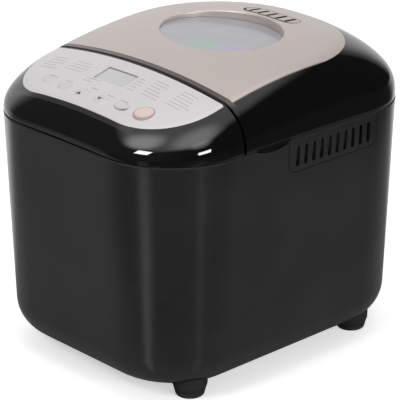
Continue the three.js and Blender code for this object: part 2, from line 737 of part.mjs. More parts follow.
function pulley(radius, bore, y) {
  const low = BELT_Z - PULLEY_WIDTH / 2;
  const high = BELT_Z + PULLEY_WIDTH / 2;
  const solid = radius - PULLEY_RIM <= bore + PULLEY_RIM;
  const web = PULLEY_WEB / 2;
  const hub = bore + PULLEY_RIM;
  const inner = radius - PULLEY_RIM;
  const lower = solid ? [] : [[hub, low], [hub, BELT_Z - web], [inner, BELT_Z - web], [inner, low]];
  const upper = solid ? [] : [[inner, high], [inner, BELT_Z + web], [hub, BELT_Z + web], [hub, high]];
  const rim = [[radius, low], [radius, high]];
  return turned([[bore, low], ...lower, ...rim, ...upper, [bore, high], [bore, low]], 0, y);
}

// two upright dogs across a disc; turn is the angle of their line
function dogs(turn, z0, z1) {
  const half = COUPLING_DOG_WIDTH / 2;
  const bar = (reach, extra) => box(-reach, reach, -half - extra, half + extra, z0 - extra, z1 + extra);
  const pair = bar(COUPLING_DOG_REACH, 0).subtract(bar(COUPLING_DOG_START, BITE));
  return pair.rotate([0, 0, turn]).translate([0, CHAMBER_Y, 0]);
}

const DRIVE_COUPLING_Z = BEARING_TOP_Z + GAP;
const DRIVE_SHAFT_TOP_Z = DRIVE_COUPLING_Z + COUPLING_DISC;
const PAN_COUPLING_TOP_Z = PAN_BOTTOM_Z - GAP;
const PAN_COUPLING_Z = PAN_COUPLING_TOP_Z - COUPLING_DISC;

function coupling(turn, discZ, dogZ, bore) {
  const disc = cylinder(COUPLING_RADIUS, discZ, discZ + COUPLING_DISC, 0, CHAMBER_Y);
  return cut(
    disc.add(dogs(turn, Math.min(dogZ, discZ + BITE), Math.max(dogZ, discZ + BITE))),
    cylinder(bore + PRESS_GAP, 0, HIGH, 0, CHAMBER_Y),
  );
}

function belt() {
  const loop = (extra) => {
    const span = CHAMBER_Y - MOTOR_Y;
    const big = DRIVE_PULLEY_RADIUS + extra;
    const small = MOTOR_PULLEY_RADIUS + extra;
    const wrap = Math.asin((big - small) / span);
    const flat = Math.cos((Math.PI / 2 + wrap) / (2 * BELT_STEPS)); // keeps facets off the pulleys
    const shape = new THREE.Shape();
    shape.absarc(0, CHAMBER_Y, big / flat, -wrap, Math.PI + wrap);
    shape.absarc(0, MOTOR_Y, small / flat, Math.PI + wrap, 2 * Math.PI - wrap);
    return shape.getPoints(BELT_STEPS);
  };
  const low = BELT_Z - BELT_WIDTH / 2;
  const high = BELT_Z + BELT_WIDTH / 2;
  return prism(loop(GAP + BELT_THICKNESS), low, high).subtract(prism(loop(GAP), 0, HIGH));
}

const MOTOR_SHAFT_TOP_Z = CHASSIS_Z + MOTOR_SHAFT_DEPTH;

function motor() {
  const bottom = CHASSIS_Z + GAP;
  const top = bottom + MOTOR_HEIGHT;
  const can = turned([
    [0, bottom],
    [MOTOR_RADIUS, bottom],
    [MOTOR_RADIUS, bottom + MOTOR_LIP],
    [MOTOR_RADIUS - MOTOR_LIP, bottom + MOTOR_LIP],
    [MOTOR_RADIUS - MOTOR_LIP, top - MOTOR_LIP],
    [MOTOR_RADIUS - 2 * MOTOR_LIP, top],
    [0, top],
  ], 0, MOTOR_Y);
  const bore = cylinder(MOTOR_SHAFT_RADIUS + RUNNING_CLEARANCE, 0, MOTOR_SHAFT_TOP_Z + GAP, 0, MOTOR_Y);
  return can.subtract(bore);
}

const SHAFT_FOOT_Z = BELT_Z - PULLEY_WIDTH / 2 - BITE;
const PULLEY_BORE = SHAFT_RADIUS + PRESS_GAP;
const MOTOR_PULLEY_BORE = MOTOR_SHAFT_RADIUS + PRESS_GAP;
const DRIVE_DOG_TOP_Z = DRIVE_SHAFT_TOP_Z + COUPLING_DOG_HEIGHT;
const MOTOR_SHAFT = cylinder(MOTOR_SHAFT_RADIUS, SHAFT_FOOT_Z, MOTOR_SHAFT_TOP_Z, 0, MOTOR_Y);

add('chassis', chassis(), STEEL);
add('bearing_housing', bearingHousing(), ALUMINIUM);
add('drive_shaft', cylinder(SHAFT_RADIUS, SHAFT_FOOT_Z, DRIVE_SHAFT_TOP_Z, 0, CHAMBER_Y), STEEL);
add('drive_pulley', pulley(DRIVE_PULLEY_RADIUS, PULLEY_BORE, CHAMBER_Y), DARK_PLASTIC);
add('drive_coupling', coupling(0, DRIVE_COUPLING_Z, DRIVE_DOG_TOP_Z, SHAFT_RADIUS), ALUMINIUM);
add('drive_belt', belt(), RUBBER);
add('drive_motor', motor(), STEEL);
add('motor_shaft', MOTOR_SHAFT, STEEL);
add('motor_pulley', pulley(MOTOR_PULLEY_RADIUS, MOTOR_PULLEY_BORE, MOTOR_Y), ALUMINIUM);

// ---------------------------------------------------------------- oven chamber

function chamberPlan(grow) {
  return roundedRectangle(
    CHAMBER_HALF_X + grow,
    CHAMBER_HALF_Y + grow,
    CHAMBER_CORNER + grow,
    CHAMBER_Y,
  );
}

function chamber() {
  const shell = joined(
    prism(chamberPlan(SHEET), CHAMBER_FLOOR_Z, CHAMBER_TOP_Z),
    prism(chamberPlan(SHEET + CHAMBER_FLANGE), CHAMBER_TOP_Z - SHEET, CHAMBER_TOP_Z),
  );
  const wallFront = CHAMBER_FRONT_Y - PAST;
  const wallBack = CHAMBER_FRONT_Y + PAST;
  return cut(
    shell,
    prism(chamberPlan(0), CHAMBER_FLOOR_Z + SHEET, HIGH),
    cylinder(BEARING_RADIUS + GAP, 0, HIGH, 0, CHAMBER_Y),
    cylinderAlongY(ELEMENT_RADIUS + GAP, wallFront, wallBack, -ELEMENT_TERMINAL_X, ELEMENT_Z, PEG),
    cylinderAlongY(ELEMENT_RADIUS + GAP, wallFront, wallBack, ELEMENT_TERMINAL_X, ELEMENT_Z, PEG),
    cylinderAlongY(SENSOR_RADIUS + GAP, wallFront, wallBack, SENSOR_X, SENSOR_Z, PEG),
  );
}

function arcPath(x, y, radius, start, end) {
  const path = new THREE.EllipseCurve(x, y, radius, radius, start, end, end < start);
  return path.getPoints(6).map((p) => new THREE.Vector3(p.x, p.y, ELEMENT_Z));
}

// a rod bent round the chamber, its two ends leaving through the front wall
function heatingElement() {
  const front = CHAMBER_Y - ELEMENT_HALF_Y;
  const rear = CHAMBER_Y + ELEMENT_HALF_Y;
  const end = CHAMBER_FRONT_Y - SHEET - ELEMENT_TERMINAL_LENGTH;
  const x = ELEMENT_TERMINAL_X;
  const side = ELEMENT_HALF_X - ELEMENT_CORNER;
  const half = [
    new THREE.Vector3(x, end, ELEMENT_Z),
    new THREE.Vector3(x, (end + front - ELEMENT_BEND) / 2, ELEMENT_Z),
    ...arcPath(x + ELEMENT_BEND, front - ELEMENT_BEND, ELEMENT_BEND, Math.PI, Math.PI / 2),
    ...arcPath(side, front + ELEMENT_CORNER, ELEMENT_CORNER, -Math.PI / 2, 0),
    ...arcPath(side, rear - ELEMENT_CORNER, ELEMENT_CORNER, 0, Math.PI / 2),
  ];
  return bentRod([...half, ...mirroredX(half)], ELEMENT_RADIUS);
}

// a folded clip that holds the element off the side wall
function elementClip(side) {
  const wall = side * CHAMBER_HALF_X;
  const inner = side * (ELEMENT_HALF_X - ELEMENT_RADIUS - GAP);
  const [x0, x1] = side > 0 ? [inner, wall - GAP] : [wall + GAP, inner];
  const [tab0, tab1] = side > 0 ? [x1 - SHEET, x1] : [x0, x0 + SHEET];
  const [y0, y1] = [CHAMBER_Y - CLIP_HALF_WIDTH, CHAMBER_Y + CLIP_HALF_WIDTH];
  const top = ELEMENT_Z - ELEMENT_RADIUS - GAP;
  const shelf = box(x0, x1, y0, y1, top - SHEET, top);
  return shelf.add(box(tab0, tab1, y0, y1, top - SHEET, ELEMENT_Z + CLIP_RISE));
}

function sensor() {
  const front = CHAMBER_FRONT_Y - SENSOR_TAIL;
  const collar = CHAMBER_FRONT_Y - SHEET - GAP;
  const radius = SENSOR_RADIUS + SENSOR_COLLAR;
  return joined(
    cylinderAlongY(SENSOR_RADIUS, front, front + SENSOR_LENGTH, SENSOR_X, SENSOR_Z, PEG),
    cylinderAlongY(radius, collar - SENSOR_COLLAR, collar, SENSOR_X, SENSOR_Z, PEG),
  );
}

function panSeat() {
  const bottom = CHAMBER_FLOOR_Z + SHEET + GAP;
  const bore = BEARING_RADIUS + SEAT_BORE_MARGIN;
  return turned([
    [bore, bottom],
    [SEAT_RADIUS, bottom],
    [SEAT_RADIUS, SEAT_TOP_Z],
    [SEAT_RADIUS - SEAT_RIM, SEAT_TOP_Z],
    [SEAT_RADIUS - SEAT_RIM, SEAT_FLOOR_TOP_Z],
    [bore, SEAT_FLOOR_TOP_Z],
    [bore, bottom],
  ], 0, CHAMBER_Y);
}

function hingeBarrel(x, width) {
  return cylinderAlongX(HINGE_RADIUS, x - width / 2, x + width / 2, HINGE_Y, HINGE_Z);
}

function pinBore(x, width, clearance) {
  return cylinderAlongX(HINGE_PIN_RADIUS + clearance, x - width, x + width, HINGE_Y, HINGE_Z, PEG);
}

function deckOpening(grow) {
  return roundedRectangle(
    CHAMBER_HALF_X - DECK_LIP + grow,
    CHAMBER_HALF_Y - DECK_LIP + grow,
    CHAMBER_CORNER + grow,
    CHAMBER_Y,
  );
}

// the moulded ring between the housing's rim and the chamber, with the fixed hinge lugs
function deck() {
  const plan = bodyRing(DECK_TOP_Z, WALL + GAP + BODY_DRAFT * (DECK_TOP_Z - CHAMBER_TOP_Z));
  let ring = cut(
    prism(plan.map((p) => new THREE.Vector2(p.x, p.y)), CHAMBER_TOP_Z + GAP, DECK_TOP_Z),
    box(-BODY_WIDTH, BODY_WIDTH, -BODY_DEPTH, DECK_FRONT_Y, 0, HIGH),
    prism(deckOpening(0), 0, HIGH),
  );
  for (const [, side] of SIDES) {
    const x = side * HINGE_X;
    const half = HINGE_LUG_WIDTH / 2;
    const back = wallY(DECK_TOP_Z) - WALL - 2 * GAP;
    const post = box(x - half, x + half, HINGE_Y - HINGE_RADIUS, back, DECK_TOP_Z - BITE, HINGE_Z);
    ring = joined(ring, post, hingeBarrel(x, HINGE_LUG_WIDTH));
    ring = ring.subtract(pinBore(x, HINGE_LUG_WIDTH, PRESS_GAP));
  }
  return ring;
}

add('oven_chamber', chamber(), STEEL);
add('heating_element', heatingElement(), STEEL);
for (const [word, side] of SIDES) add(`element_clip_${word}`, elementClip(side), STEEL);
add('temperature_sensor', sensor(), STEEL);
add('pan_seat', panSeat(), ALUMINIUM);
add('top_deck', deck(), DARK_PLASTIC);

// ---------------------------------------------------------------- bread pan, bail and paddle

const PAN_Y = CHAMBER_Y;

function panForm(inset, bottom, top) {
  const ring = (z) => {
    const taper = (PAN_TAPER * (PAN_TOP_Z - z)) / (PAN_TOP_Z - PAN_BOTTOM_Z) + inset;
    return ringAt(roundedRectangle(PAN_HALF_X - taper, PAN_HALF_Y - taper, PAN_CORNER - taper, PAN_Y), z);
  };
  return loft([ring(bottom), ring(top)]);
}

const BAIL_TIP_X = PAN_HALF_X + PAN_RIM + BAIL_TIP_GAP;
const EAR_X = BAIL_TIP_X + EAR_OFFSET;

function pan() {
  const rim = roundedRectangle(PAN_HALF_X + PAN_RIM, PAN_HALF_Y + PAN_RIM, PAN_CORNER + PAN_RIM, PAN_Y);
  let vessel = joined(panForm(0, PAN_BOTTOM_Z, PAN_TOP_Z), prism(rim, PAN_TOP_Z - SHEET, PAN_TOP_Z));
  for (const [, side] of SIDES) {
    const [x0, x1] = side > 0 ? [EAR_X, EAR_X + EAR_THICKNESS] : [-EAR_X - EAR_THICKNESS, -EAR_X];
    const low = BAIL_PIVOT_Z - EAR_HALF_WIDTH;
    const [y0, y1] = [PAN_Y - EAR_HALF_WIDTH, PAN_Y + EAR_HALF_WIDTH];
    const root = side > 0 ? [PAN_HALF_X - BITE, x1] : [x0, BITE - PAN_HALF_X];
    vessel = joined(
      vessel,
      box(x0, x1, y0, y1, low, PAN_TOP_Z),
      box(root[0], root[1], y0, y1, PAN_TOP_Z - SHEET, PAN_TOP_Z),
    );
    const bore = cylinderAlongX(BAIL_RADIUS + GAP, x0 - BITE, x1 + BITE, PAN_Y, BAIL_PIVOT_Z, PEG);
    vessel = vessel.subtract(bore);
  }
  return cut(
    vessel,
    panForm(SHEET, PAN_BOTTOM_Z + PAN_FLOOR, PAN_TOP_Z + BITE),
    cylinder(PADDLE_SHAFT_RADIUS + RUNNING_CLEARANCE, 0, HIGH, 0, PAN_Y),
  );
}

function baseRing() {
  const outer = SEAT_RADIUS - SEAT_RIM - GAP;
  const inner = outer - BASE_RING_WALL;
  const bottom = SEAT_FLOOR_TOP_Z + GAP;
  const top = PAN_BOTTOM_Z - GAP;
  return turned([[inner, bottom], [outer, bottom], [outer, top], [inner, top], [inner, bottom]], 0, PAN_Y);
}

// a wire bail folded down in front of the pan
function bail() {
  const bend = BAIL_BEND;
  const at = (reach, x) => new THREE.Vector3(
    x,
    PAN_Y - reach * Math.cos(BAIL_REST_ANGLE),
    BAIL_PIVOT_Z - reach * Math.sin(BAIL_REST_ANGLE),
  );
  const corner = [0, 1, 2, 3, 4].map((k) => {
    const angle = (k * Math.PI) / 8;
    return at(BAIL_REACH - bend + bend * Math.sin(angle), BAIL_HALF_WIDTH - bend + bend * Math.cos(angle));
  });
  const half = [
    at(-BAIL_RADIUS, BAIL_HALF_WIDTH),
    at(BAIL_REACH / 2, BAIL_HALF_WIDTH),
    ...corner,
    at(BAIL_REACH, BAIL_HALF_WIDTH / 2),
  ];
  const pivots = SIDES.map(([, side]) => {
    const [x0, x1] = side > 0 ? [BAIL_TIP_X, BAIL_HALF_WIDTH] : [-BAIL_HALF_WIDTH, -BAIL_TIP_X];
    return cylinderAlongX(BAIL_RADIUS, x0, x1, PAN_Y, BAIL_PIVOT_Z, PEG);
  });
  return joined(bentRod([...half, ...mirroredX(half)], BAIL_RADIUS), ...pivots);
}

const PADDLE_Z = PAN_BOTTOM_Z + PAN_FLOOR + SEAL_HEIGHT + 2 * GAP;

function shaftSeal() {
  const bore = PADDLE_SHAFT_RADIUS + RUNNING_CLEARANCE;
  const bottom = PAN_BOTTOM_Z + PAN_FLOOR + GAP;
  const top = bottom + SEAL_HEIGHT;
  return turned([
    [bore, bottom],
    [SEAL_RADIUS, bottom],
    [bore + SEAL_LIP, top],
    [bore, top],
    [bore, bottom],
  ], 0, PAN_Y);
}

// a hub with one blade that tapers away from it
function paddle() {
  const half = PADDLE_BLADE / 2;
  const blade = prism([
    new THREE.Vector2(0, -half),
    new THREE.Vector2(PADDLE_REACH, half - PADDLE_TIP),
    new THREE.Vector2(PADDLE_REACH, half),
    new THREE.Vector2(0, half),
  ], PADDLE_Z + GAP, PADDLE_Z + PADDLE_BLADE_HEIGHT);
  const slope = Math.atan2(PADDLE_BLADE_HEIGHT / 2, PADDLE_REACH);
  const above = box(-PADDLE_REACH, 2 * PADDLE_REACH, -PADDLE_BLADE, PADDLE_BLADE, 0, PADDLE_REACH)
    .rotate([0, (slope * 180) / Math.PI, 0])
    .translate([0, 0, PADDLE_Z + PADDLE_BLADE_HEIGHT]);
  const hub = turned([
    [0, PADDLE_Z],
    [PADDLE_HUB_RADIUS, PADDLE_Z],
    [PADDLE_HUB_RADIUS - PADDLE_HUB_TAPER, PADDLE_Z + PADDLE_HUB_HEIGHT - PADDLE_HUB_TAPER],
    [PADDLE_HUB_RADIUS - 2 * PADDLE_HUB_TAPER, PADDLE_Z + PADDLE_HUB_HEIGHT],
    [0, PADDLE_Z + PADDLE_HUB_HEIGHT],
  ]);
  const bore = cylinder(PADDLE_SHAFT_RADIUS + PRESS_GAP, 0, PADDLE_SHAFT_TOP_Z + PRESS_GAP);
  return hub.add(blade.subtract(above)).subtract(bore).translate([0, PAN_Y, 0]);
}

const PAN_DOG_FOOT_Z = PAN_COUPLING_Z - COUPLING_DOG_HEIGHT;

function paddleShaft() {
  const bottom = PAN_COUPLING_Z - BITE;
  return cylinder(PADDLE_SHAFT_RADIUS, bottom, PADDLE_SHAFT_TOP_Z - GAP, 0, PAN_Y);
}

add('bread_pan', pan(), NONSTICK);
add('pan_base_ring', baseRing(), ALUMINIUM);
add('pan_handle', bail(), STEEL);
add('paddle_shaft', paddleShaft(), STEEL);
add('pan_coupling', coupling(90, PAN_COUPLING_Z, PAN_DOG_FOOT_Z, PADDLE_SHAFT_RADIUS), ALUMINIUM);
add('shaft_seal', shaftSeal(), SILICONE);
add('kneading_paddle', paddle(), NONSTICK);

// ---------------------------------------------------------------- control bezel

const BEZEL_REAR_Y = SPLIT_Y - SPLIT_WIDTH / 2;
const PANEL_ORIGIN_Z = crownTop(0, PANEL_ORIGIN_Y);

// moves a solid from the panel's own frame (x across, y up the slope, z out of it)
function onPanel(solid) {
  const degrees = (PANEL_TILT * 180) / Math.PI;
  return solid.rotate([degrees, 0, 0]).translate([0, PANEL_ORIGIN_Y, PANEL_ORIGIN_Z]);
}

// how far up the panel's slope a point of the crown lies
function upSlope(x, y) {
  const level = y - PANEL_ORIGIN_Y;
  const rise = crownTop(x, y) - PANEL_ORIGIN_Z;
  return level * Math.cos(PANEL_TILT) + rise * Math.sin(PANEL_TILT);
}

const KEY_WORDS = ['menu', 'loaf_size', 'time_down', 'time_up', 'crust_colour', 'start_stop'];
const KEYS = KEY_WORDS.map((word, k) => {
  const x = (k - (KEY_WORDS.length - 1) / 2) * KEY_PITCH;
  const y = KEY_ROW_Y + KEY_ROW_BOW * x * x;
  return { word, x, y: upSlope(x, y), round: word === 'start_stop' };
});

function keyOutline({ x, y, round }, margin) {
  if (round) {
    const radius = START_KEY_RADIUS + margin;
    return new THREE.EllipseCurve(x, y, radius, radius).getPoints(KEY_SIDES).slice(0, -1);
  }
  const curve = new THREE.EllipseCurve(x, y, KEY_HALF_X + margin, KEY_HALF_Y + margin);
  return curve.getPoints(KEY_SIDES).slice(0, -1);
}

const RAISED_CROWN = crownForm(0, -KEY_PROUD, SEAM_Z + GAP);

function key(spec) {
  const stem = onPanel(prism(keyOutline(spec, 0), -KEY_DEPTH, PAST)).intersect(RAISED_CROWN);
  return stem.add(onPanel(prism(keyOutline(spec, KEY_FLANGE), -KEY_DEPTH, KEY_FLANGE - KEY_DEPTH)));
}

function keyHoles(solid) {
  const bottom = KEY_FLANGE + GAP - KEY_DEPTH;
  return cut(solid, ...KEYS.map((spec) => onPanel(prism(keyOutline(spec, GAP), bottom, PAST))));
}

function overlayOutline(margin) {
  const plan = crownOutline(OVERLAY_SHARE, margin);
  const rear = BEZEL_REAR_Y - OVERLAY_REAR_MARGIN - margin;
  const radius = plan.frontRadius;
  const shape = new THREE.Shape();
  shape.absarc(plan.halfX - radius, plan.front + radius, radius, -Math.PI / 2, 0);
  shape.absarc(plan.halfX - PANEL_CORNER, rear - PANEL_CORNER, PANEL_CORNER, 0, Math.PI / 2);
  shape.absarc(PANEL_CORNER - plan.halfX, rear - PANEL_CORNER, PANEL_CORNER, Math.PI / 2, Math.PI);
  shape.absarc(radius - plan.halfX, plan.front + radius, radius, Math.PI, 1.5 * Math.PI);
  return shape.getPoints(CORNER_STEPS);
}

function lcdBlock(margin, z0, z1) {
  const y = upSlope(LCD_X, LCD_Y);
  const halfX = LCD_WIDTH / 2 + margin;
  const halfY = LCD_HEIGHT / 2 + margin;
  return onPanel(box(LCD_X - halfX, LCD_X + halfX, y - halfY, y + halfY, z0, z1));
}

function lcdOpening() {
  return lcdBlock(0, -SKIN - LCD_FRAME_DEPTH, PAST);
}

function bezel() {
  const hollow = crownForm(WALL, SKIN, SEAM_Z - WALL, HOLLOW_FACETS);
  const front = (rear) => box(-BODY_WIDTH, BODY_WIDTH, -BODY_DEPTH, rear, 0, HIGH);
  const skirtHalf = HALF_WIDTH - WALL - 2 * GAP;
  const skirtFront = BEZEL_REAR_Y - WALL;
  const skirt = box(-skirtHalf, skirtHalf, skirtFront, SPLIT_Y, DECK_TOP_Z + GAP, SEAM_Z + WALL);
  const hollowed = CROWN.subtract(hollow.intersect(front(skirtFront)));
  const shell = hollowed.add(skirt).intersect(front(BEZEL_REAR_Y));
  const pocket = crownSlab(overlayOutline(-GAP), -2, OVERLAY_THICKNESS + GAP);
  const post = (x, y) => {
    const pillar = cylinder(BOARD_POST_RADIUS, GAP - BOARD_DEPTH, 0, x, y, PEG);
    return onPanel(pillar).intersect(crownForm(0, 2 * OVERLAY_THICKNESS, SEAM_Z));
  };
  const x = BOARD_HALF_X - BOARD_POST_RADIUS;
  const y = BOARD_HALF_Y - BOARD_POST_RADIUS;
  const posts = [post(-x, -y), post(x, -y), post(x, y), post(-x, y)];
  return cut(keyHoles(joined(shell.subtract(pocket), ...posts)), lcdOpening());
}

function overlay() {
  const sheet = crownSlab(overlayOutline(0), 0, OVERLAY_THICKNESS);
  return keyHoles(sheet).subtract(lcdOpening());
}

function lens() {
  const upper = crownForm(0, LCD_RECESS, SEAM_Z);
  const lower = crownForm(0, LCD_RECESS + LENS_THICKNESS, SEAM_Z - BITE);
  return lcdBlock(-GAP, -PAST, PAST).intersect(upper).subtract(lower);
}

function board() {
  const bottom = -BOARD_DEPTH - BOARD_THICKNESS;
  const slab = box(-BOARD_HALF_X, BOARD_HALF_X, -BOARD_HALF_Y, BOARD_HALF_Y, bottom, -BOARD_DEPTH);
  const half = SWITCH_SIZE / 2;
  const foot = -BOARD_DEPTH - BITE;
  const top = -KEY_DEPTH - KEY_TRAVEL - GAP;
  const switches = KEYS.map(({ x, y }) => box(x - half, x + half, y - half, y + half, foot, top));
  return onPanel(joined(slab, ...switches));
}

function lcdModule() {
  const top = -LCD_RECESS - LENS_THICKNESS - LCD_MODULE_DROP;
  return lcdBlock(-LCD_MODULE_MARGIN, GAP - BOARD_DEPTH, top);
}

add('front_bezel', bezel(), GLOSS_BLACK);
add('control_overlay', overlay(), PANEL_GREY);
add('lcd_lens', lens(), GLASS);
add('lcd_module', lcdModule(), DARK_PLASTIC);
add('control_board', board(), GREEN_BOARD);
for (const spec of KEYS) add(`button_${spec.word}`, key(spec), PANEL_GREY);

// ---------------------------------------------------------------- lid

const LID_FRONT_Y = SPLIT_Y + SPLIT_WIDTH / 2;

function panelOutline(margin) {
  const plan = crownOutline(PANEL_SHARE, margin);
  const front = PANEL_FRONT_Y + margin;
  const radius = plan.rearRadius;
  const shape = new THREE.Shape();
  shape.absarc(plan.halfX - PANEL_CORNER, front + PANEL_CORNER, PANEL_CORNER, -Math.PI / 2, 0);
  shape.absarc(plan.halfX - radius, plan.rear - radius, radius, 0, Math.PI / 2);
  shape.absarc(radius - plan.halfX, plan.rear - radius, radius, Math.PI / 2, Math.PI);
  shape.absarc(PANEL_CORNER - plan.halfX, front + PANEL_CORNER, PANEL_CORNER, Math.PI, 1.5 * Math.PI);
  return shape.getPoints(CORNER_STEPS);
}

// everything above the glass plane lowered by drop; the plane sinks from front to rear
function aboveGlass(drop) {
  const front = WINDOW_Y - WINDOW_HALF_Y;
  const rear = WINDOW_Y + WINDOW_HALF_Y;
  const frontZ = crownTop(0, front) - WINDOW_RECESS_FRONT - drop;
  const rearZ = crownTop(0, rear) - WINDOW_RECESS_REAR - drop;
  const slope = (rearZ - frontZ) / (rear - front);
  const y0 = front - WINDOW_HALF_Y;
  const y1 = rear + WINDOW_HALF_Y;
  return prismAlongX([
    new THREE.Vector2(y0, frontZ + slope * (y0 - front)),
    new THREE.Vector2(y1, frontZ + slope * (y1 - front)),
    new THREE.Vector2(y1, HIGH),
    new THREE.Vector2(y0, HIGH),
  ], -HALF_WIDTH, HALF_WIDTH);
}

function windowColumn(grow) {
  return prism(ellipse(WINDOW_HALF_X + grow, WINDOW_HALF_Y + grow, WINDOW_Y), LINER_Z - BITE, HIGH);
}

function ventOutline(grow) {
  return capsule(VENT_LENGTH + 2 * grow, VENT_WIDTH + 2 * grow, VENT_X, VENT_Y);
}

function lidPanel() {
  const sheet = crownSlab(panelOutline(0), 0, PANEL_THICKNESS);
  const glassSpace = windowColumn(COLLAR_WALL + GAP).subtract(aboveGlass(-GAP));
  const collar = windowColumn(COLLAR_WALL).intersect(CROWN).intersect(aboveGlass(-GAP));
  const blank = sheet.subtract(glassSpace).add(collar);
  return cut(blank, windowColumn(0), prism(ventOutline(GAP), SEAM_Z, HIGH));
}

function glass() {
  const upper = windowColumn(COLLAR_WALL).intersect(aboveGlass(GLASS_THICKNESS));
  return upper.subtract(aboveGlass(0));
}

function ventInsert() {
  let plate = crownSlab(ventOutline(0), 0, VENT_THICKNESS);
  for (let k = 0; k < VENT_SLOTS; k += 1) {
    const x = VENT_X + (k - (VENT_SLOTS - 1) / 2) * VENT_SLOT_PITCH;
    const half = VENT_SLOT_WIDTH / 2;
    const reach = VENT_SLOT_LENGTH / 2;
    plate = plate.subtract(box(x - half, x + half, VENT_Y - reach, VENT_Y + reach, SEAM_Z, HIGH));
  }
  return plate;
}

// a solid lid blank with everything below the skin taken out
function lidShell() {
  const hollow = crownForm(WALL, SKIN, SEAM_Z - WALL, HOLLOW_FACETS);
  const front = LID_FRONT_Y;
  const behind = (y) => box(-BODY_WIDTH, BODY_WIDTH, y, BODY_DEPTH, 0, HIGH);
  return CROWN.intersect(behind(front)).subtract(hollow.intersect(behind(front + WALL)));
}

// a moulded ring that carries the glass, with a duct down to the liner
function windowCarrier() {
  const rim = windowColumn(COLLAR_WALL + CARRIER_WALL);
  const ledge = rim.intersect(aboveGlass(GLASS_THICKNESS + CARRIER_FLOOR));
  const duct = windowColumn(DUCT_WALL - WINDOW_LEDGE);
  const hold = crownForm(0, PANEL_THICKNESS + GAP, LINER_Z + LINER_THICKNESS + GAP);
  const glassPocket = windowColumn(COLLAR_WALL + GAP).intersect(aboveGlass(GLASS_THICKNESS + GAP));
  return cut(joined(ledge, duct).intersect(hold), windowColumn(-WINDOW_LEDGE), glassPocket);
}

function lidPosts() {
  const bottom = LINER_Z + LINER_THICKNESS + GAP;
  const hold = crownForm(0, PANEL_THICKNESS + GAP, bottom);
  return [[-1, -1], [1, -1], [1, 1], [-1, 1]].map(([a, b]) => {
    const y = CHAMBER_Y + b * LID_POST_REACH_Y;
    return cylinder(LID_POST_RADIUS, bottom, HIGH, a * LID_POST_X, y, PEG).intersect(hold);
  });
}

// crescent lips under the side walls, for the fingers
function lidLips() {
  const plan = (inset) => bodyRing(SEAM_Z, inset).map((p) => new THREE.Vector2(p.x, p.y));
  const column = prism(plan(0), SEAM_Z - NOTCH_DEPTH, SEAM_Z + WALL);
  const wall = column.subtract(prism(plan(WALL), 0, HIGH));
  return wall.intersect(notchCylinder(NOTCH_RADIUS - LIP_CLEARANCE));
}

function hingeEars() {
  return SIDES.flatMap(([, side]) => [-1, 1].map((end) => {
    const offset = HINGE_LUG_WIDTH / 2 + GAP + HINGE_EAR_WIDTH / 2;
    const x = side * HINGE_X + end * offset;
    const half = HINGE_EAR_WIDTH / 2;
    const front = HINGE_Y - HINGE_WEB_DEPTH;
    const rear = HINGE_Y + HINGE_RADIUS - BITE;
    const web = box(x - half, x + half, front, rear, HINGE_Z, HINGE_Z + HINGE_WEB_HEIGHT);
    return web.add(hingeBarrel(x, HINGE_EAR_WIDTH));
  }));
}

function hingeSpaces() {
  const lift = SEAM_Z + HINGE_SKIRT_LIFT;
  const half = HINGE_SKIRT_HALF_WIDTH;
  const skirt = box(-half, half, HINGE_Y - HINGE_SKIRT_DEPTH, BODY_DEPTH, 0, lift);
  const pockets = SIDES.map(([, side]) => {
    const reach = HINGE_LUG_WIDTH / 2 + GAP;
    const x = side * HINGE_X;
    const top = HINGE_Z + HINGE_RADIUS + HINGE_SWING_GAP;
    return box(x - reach, x + reach, HINGE_Y - HINGE_WEB_DEPTH, BODY_DEPTH, 0, top);
  });
  return [skirt, ...pockets];
}

function lidFrame() {
  const windowHole = windowColumn(COLLAR_WALL + CARRIER_WALL + GAP);
  const panelPocket = crownSlab(panelOutline(-GAP), -2, PANEL_THICKNESS + GAP);
  const ventPocket = crownSlab(ventOutline(GAP), -2, VENT_THICKNESS + GAP);
  const ventHole = prism(ventOutline(-VENT_LEDGE_WIDTH), SEAM_Z, HIGH);
  const blank = joined(lidShell().subtract(panelPocket), ...lidPosts(), lidLips());
  const bored = cut(blank, windowHole, ventPocket, ventHole, ...hingeSpaces());
  const hinged = joined(bored, ...hingeEars());
  const bores = SIDES.map(([, side]) => pinBore(side * HINGE_X, HINGE_LUG_WIDTH, RUNNING_CLEARANCE));
  return cut(hinged, ...bores);
}

function liner() {
  const sheet = prism(deckOpening(LINER_MARGIN), LINER_Z, LINER_Z + LINER_THICKNESS);
  return sheet.subtract(windowColumn(-WINDOW_LEDGE));
}

function gasket() {
  const outer = prism(deckOpening(GASKET_MARGIN + GASKET_WIDTH), DECK_TOP_Z + GAP, LINER_Z - GAP);
  return outer.subtract(prism(deckOpening(GASKET_MARGIN), 0, HIGH));
}

add('lid_frame', lidFrame(), GLOSS_BLACK);
add('lid_top_panel', lidPanel(), CHAMPAGNE);
add('window_carrier', windowCarrier(), DARK_PLASTIC);
add('window_glass', glass(), GLASS);
add('lid_vent_insert', ventInsert(), CHAMPAGNE);
add('lid_liner', liner(), ALUMINIUM);
add('lid_gasket', gasket(), SILICONE);
for (const [word, side] of SIDES) {
  const half = HINGE_LUG_WIDTH / 2 + HINGE_EAR_WIDTH;
  const x = side * HINGE_X;
  const pin = cylinderAlongX(HINGE_PIN_RADIUS, x - half, x + half, HINGE_Y, HINGE_Z, PEG);
  add(`hinge_pin_${word}`, pin, STEEL);
}

// ---------------------------------------------------------------- mains parts

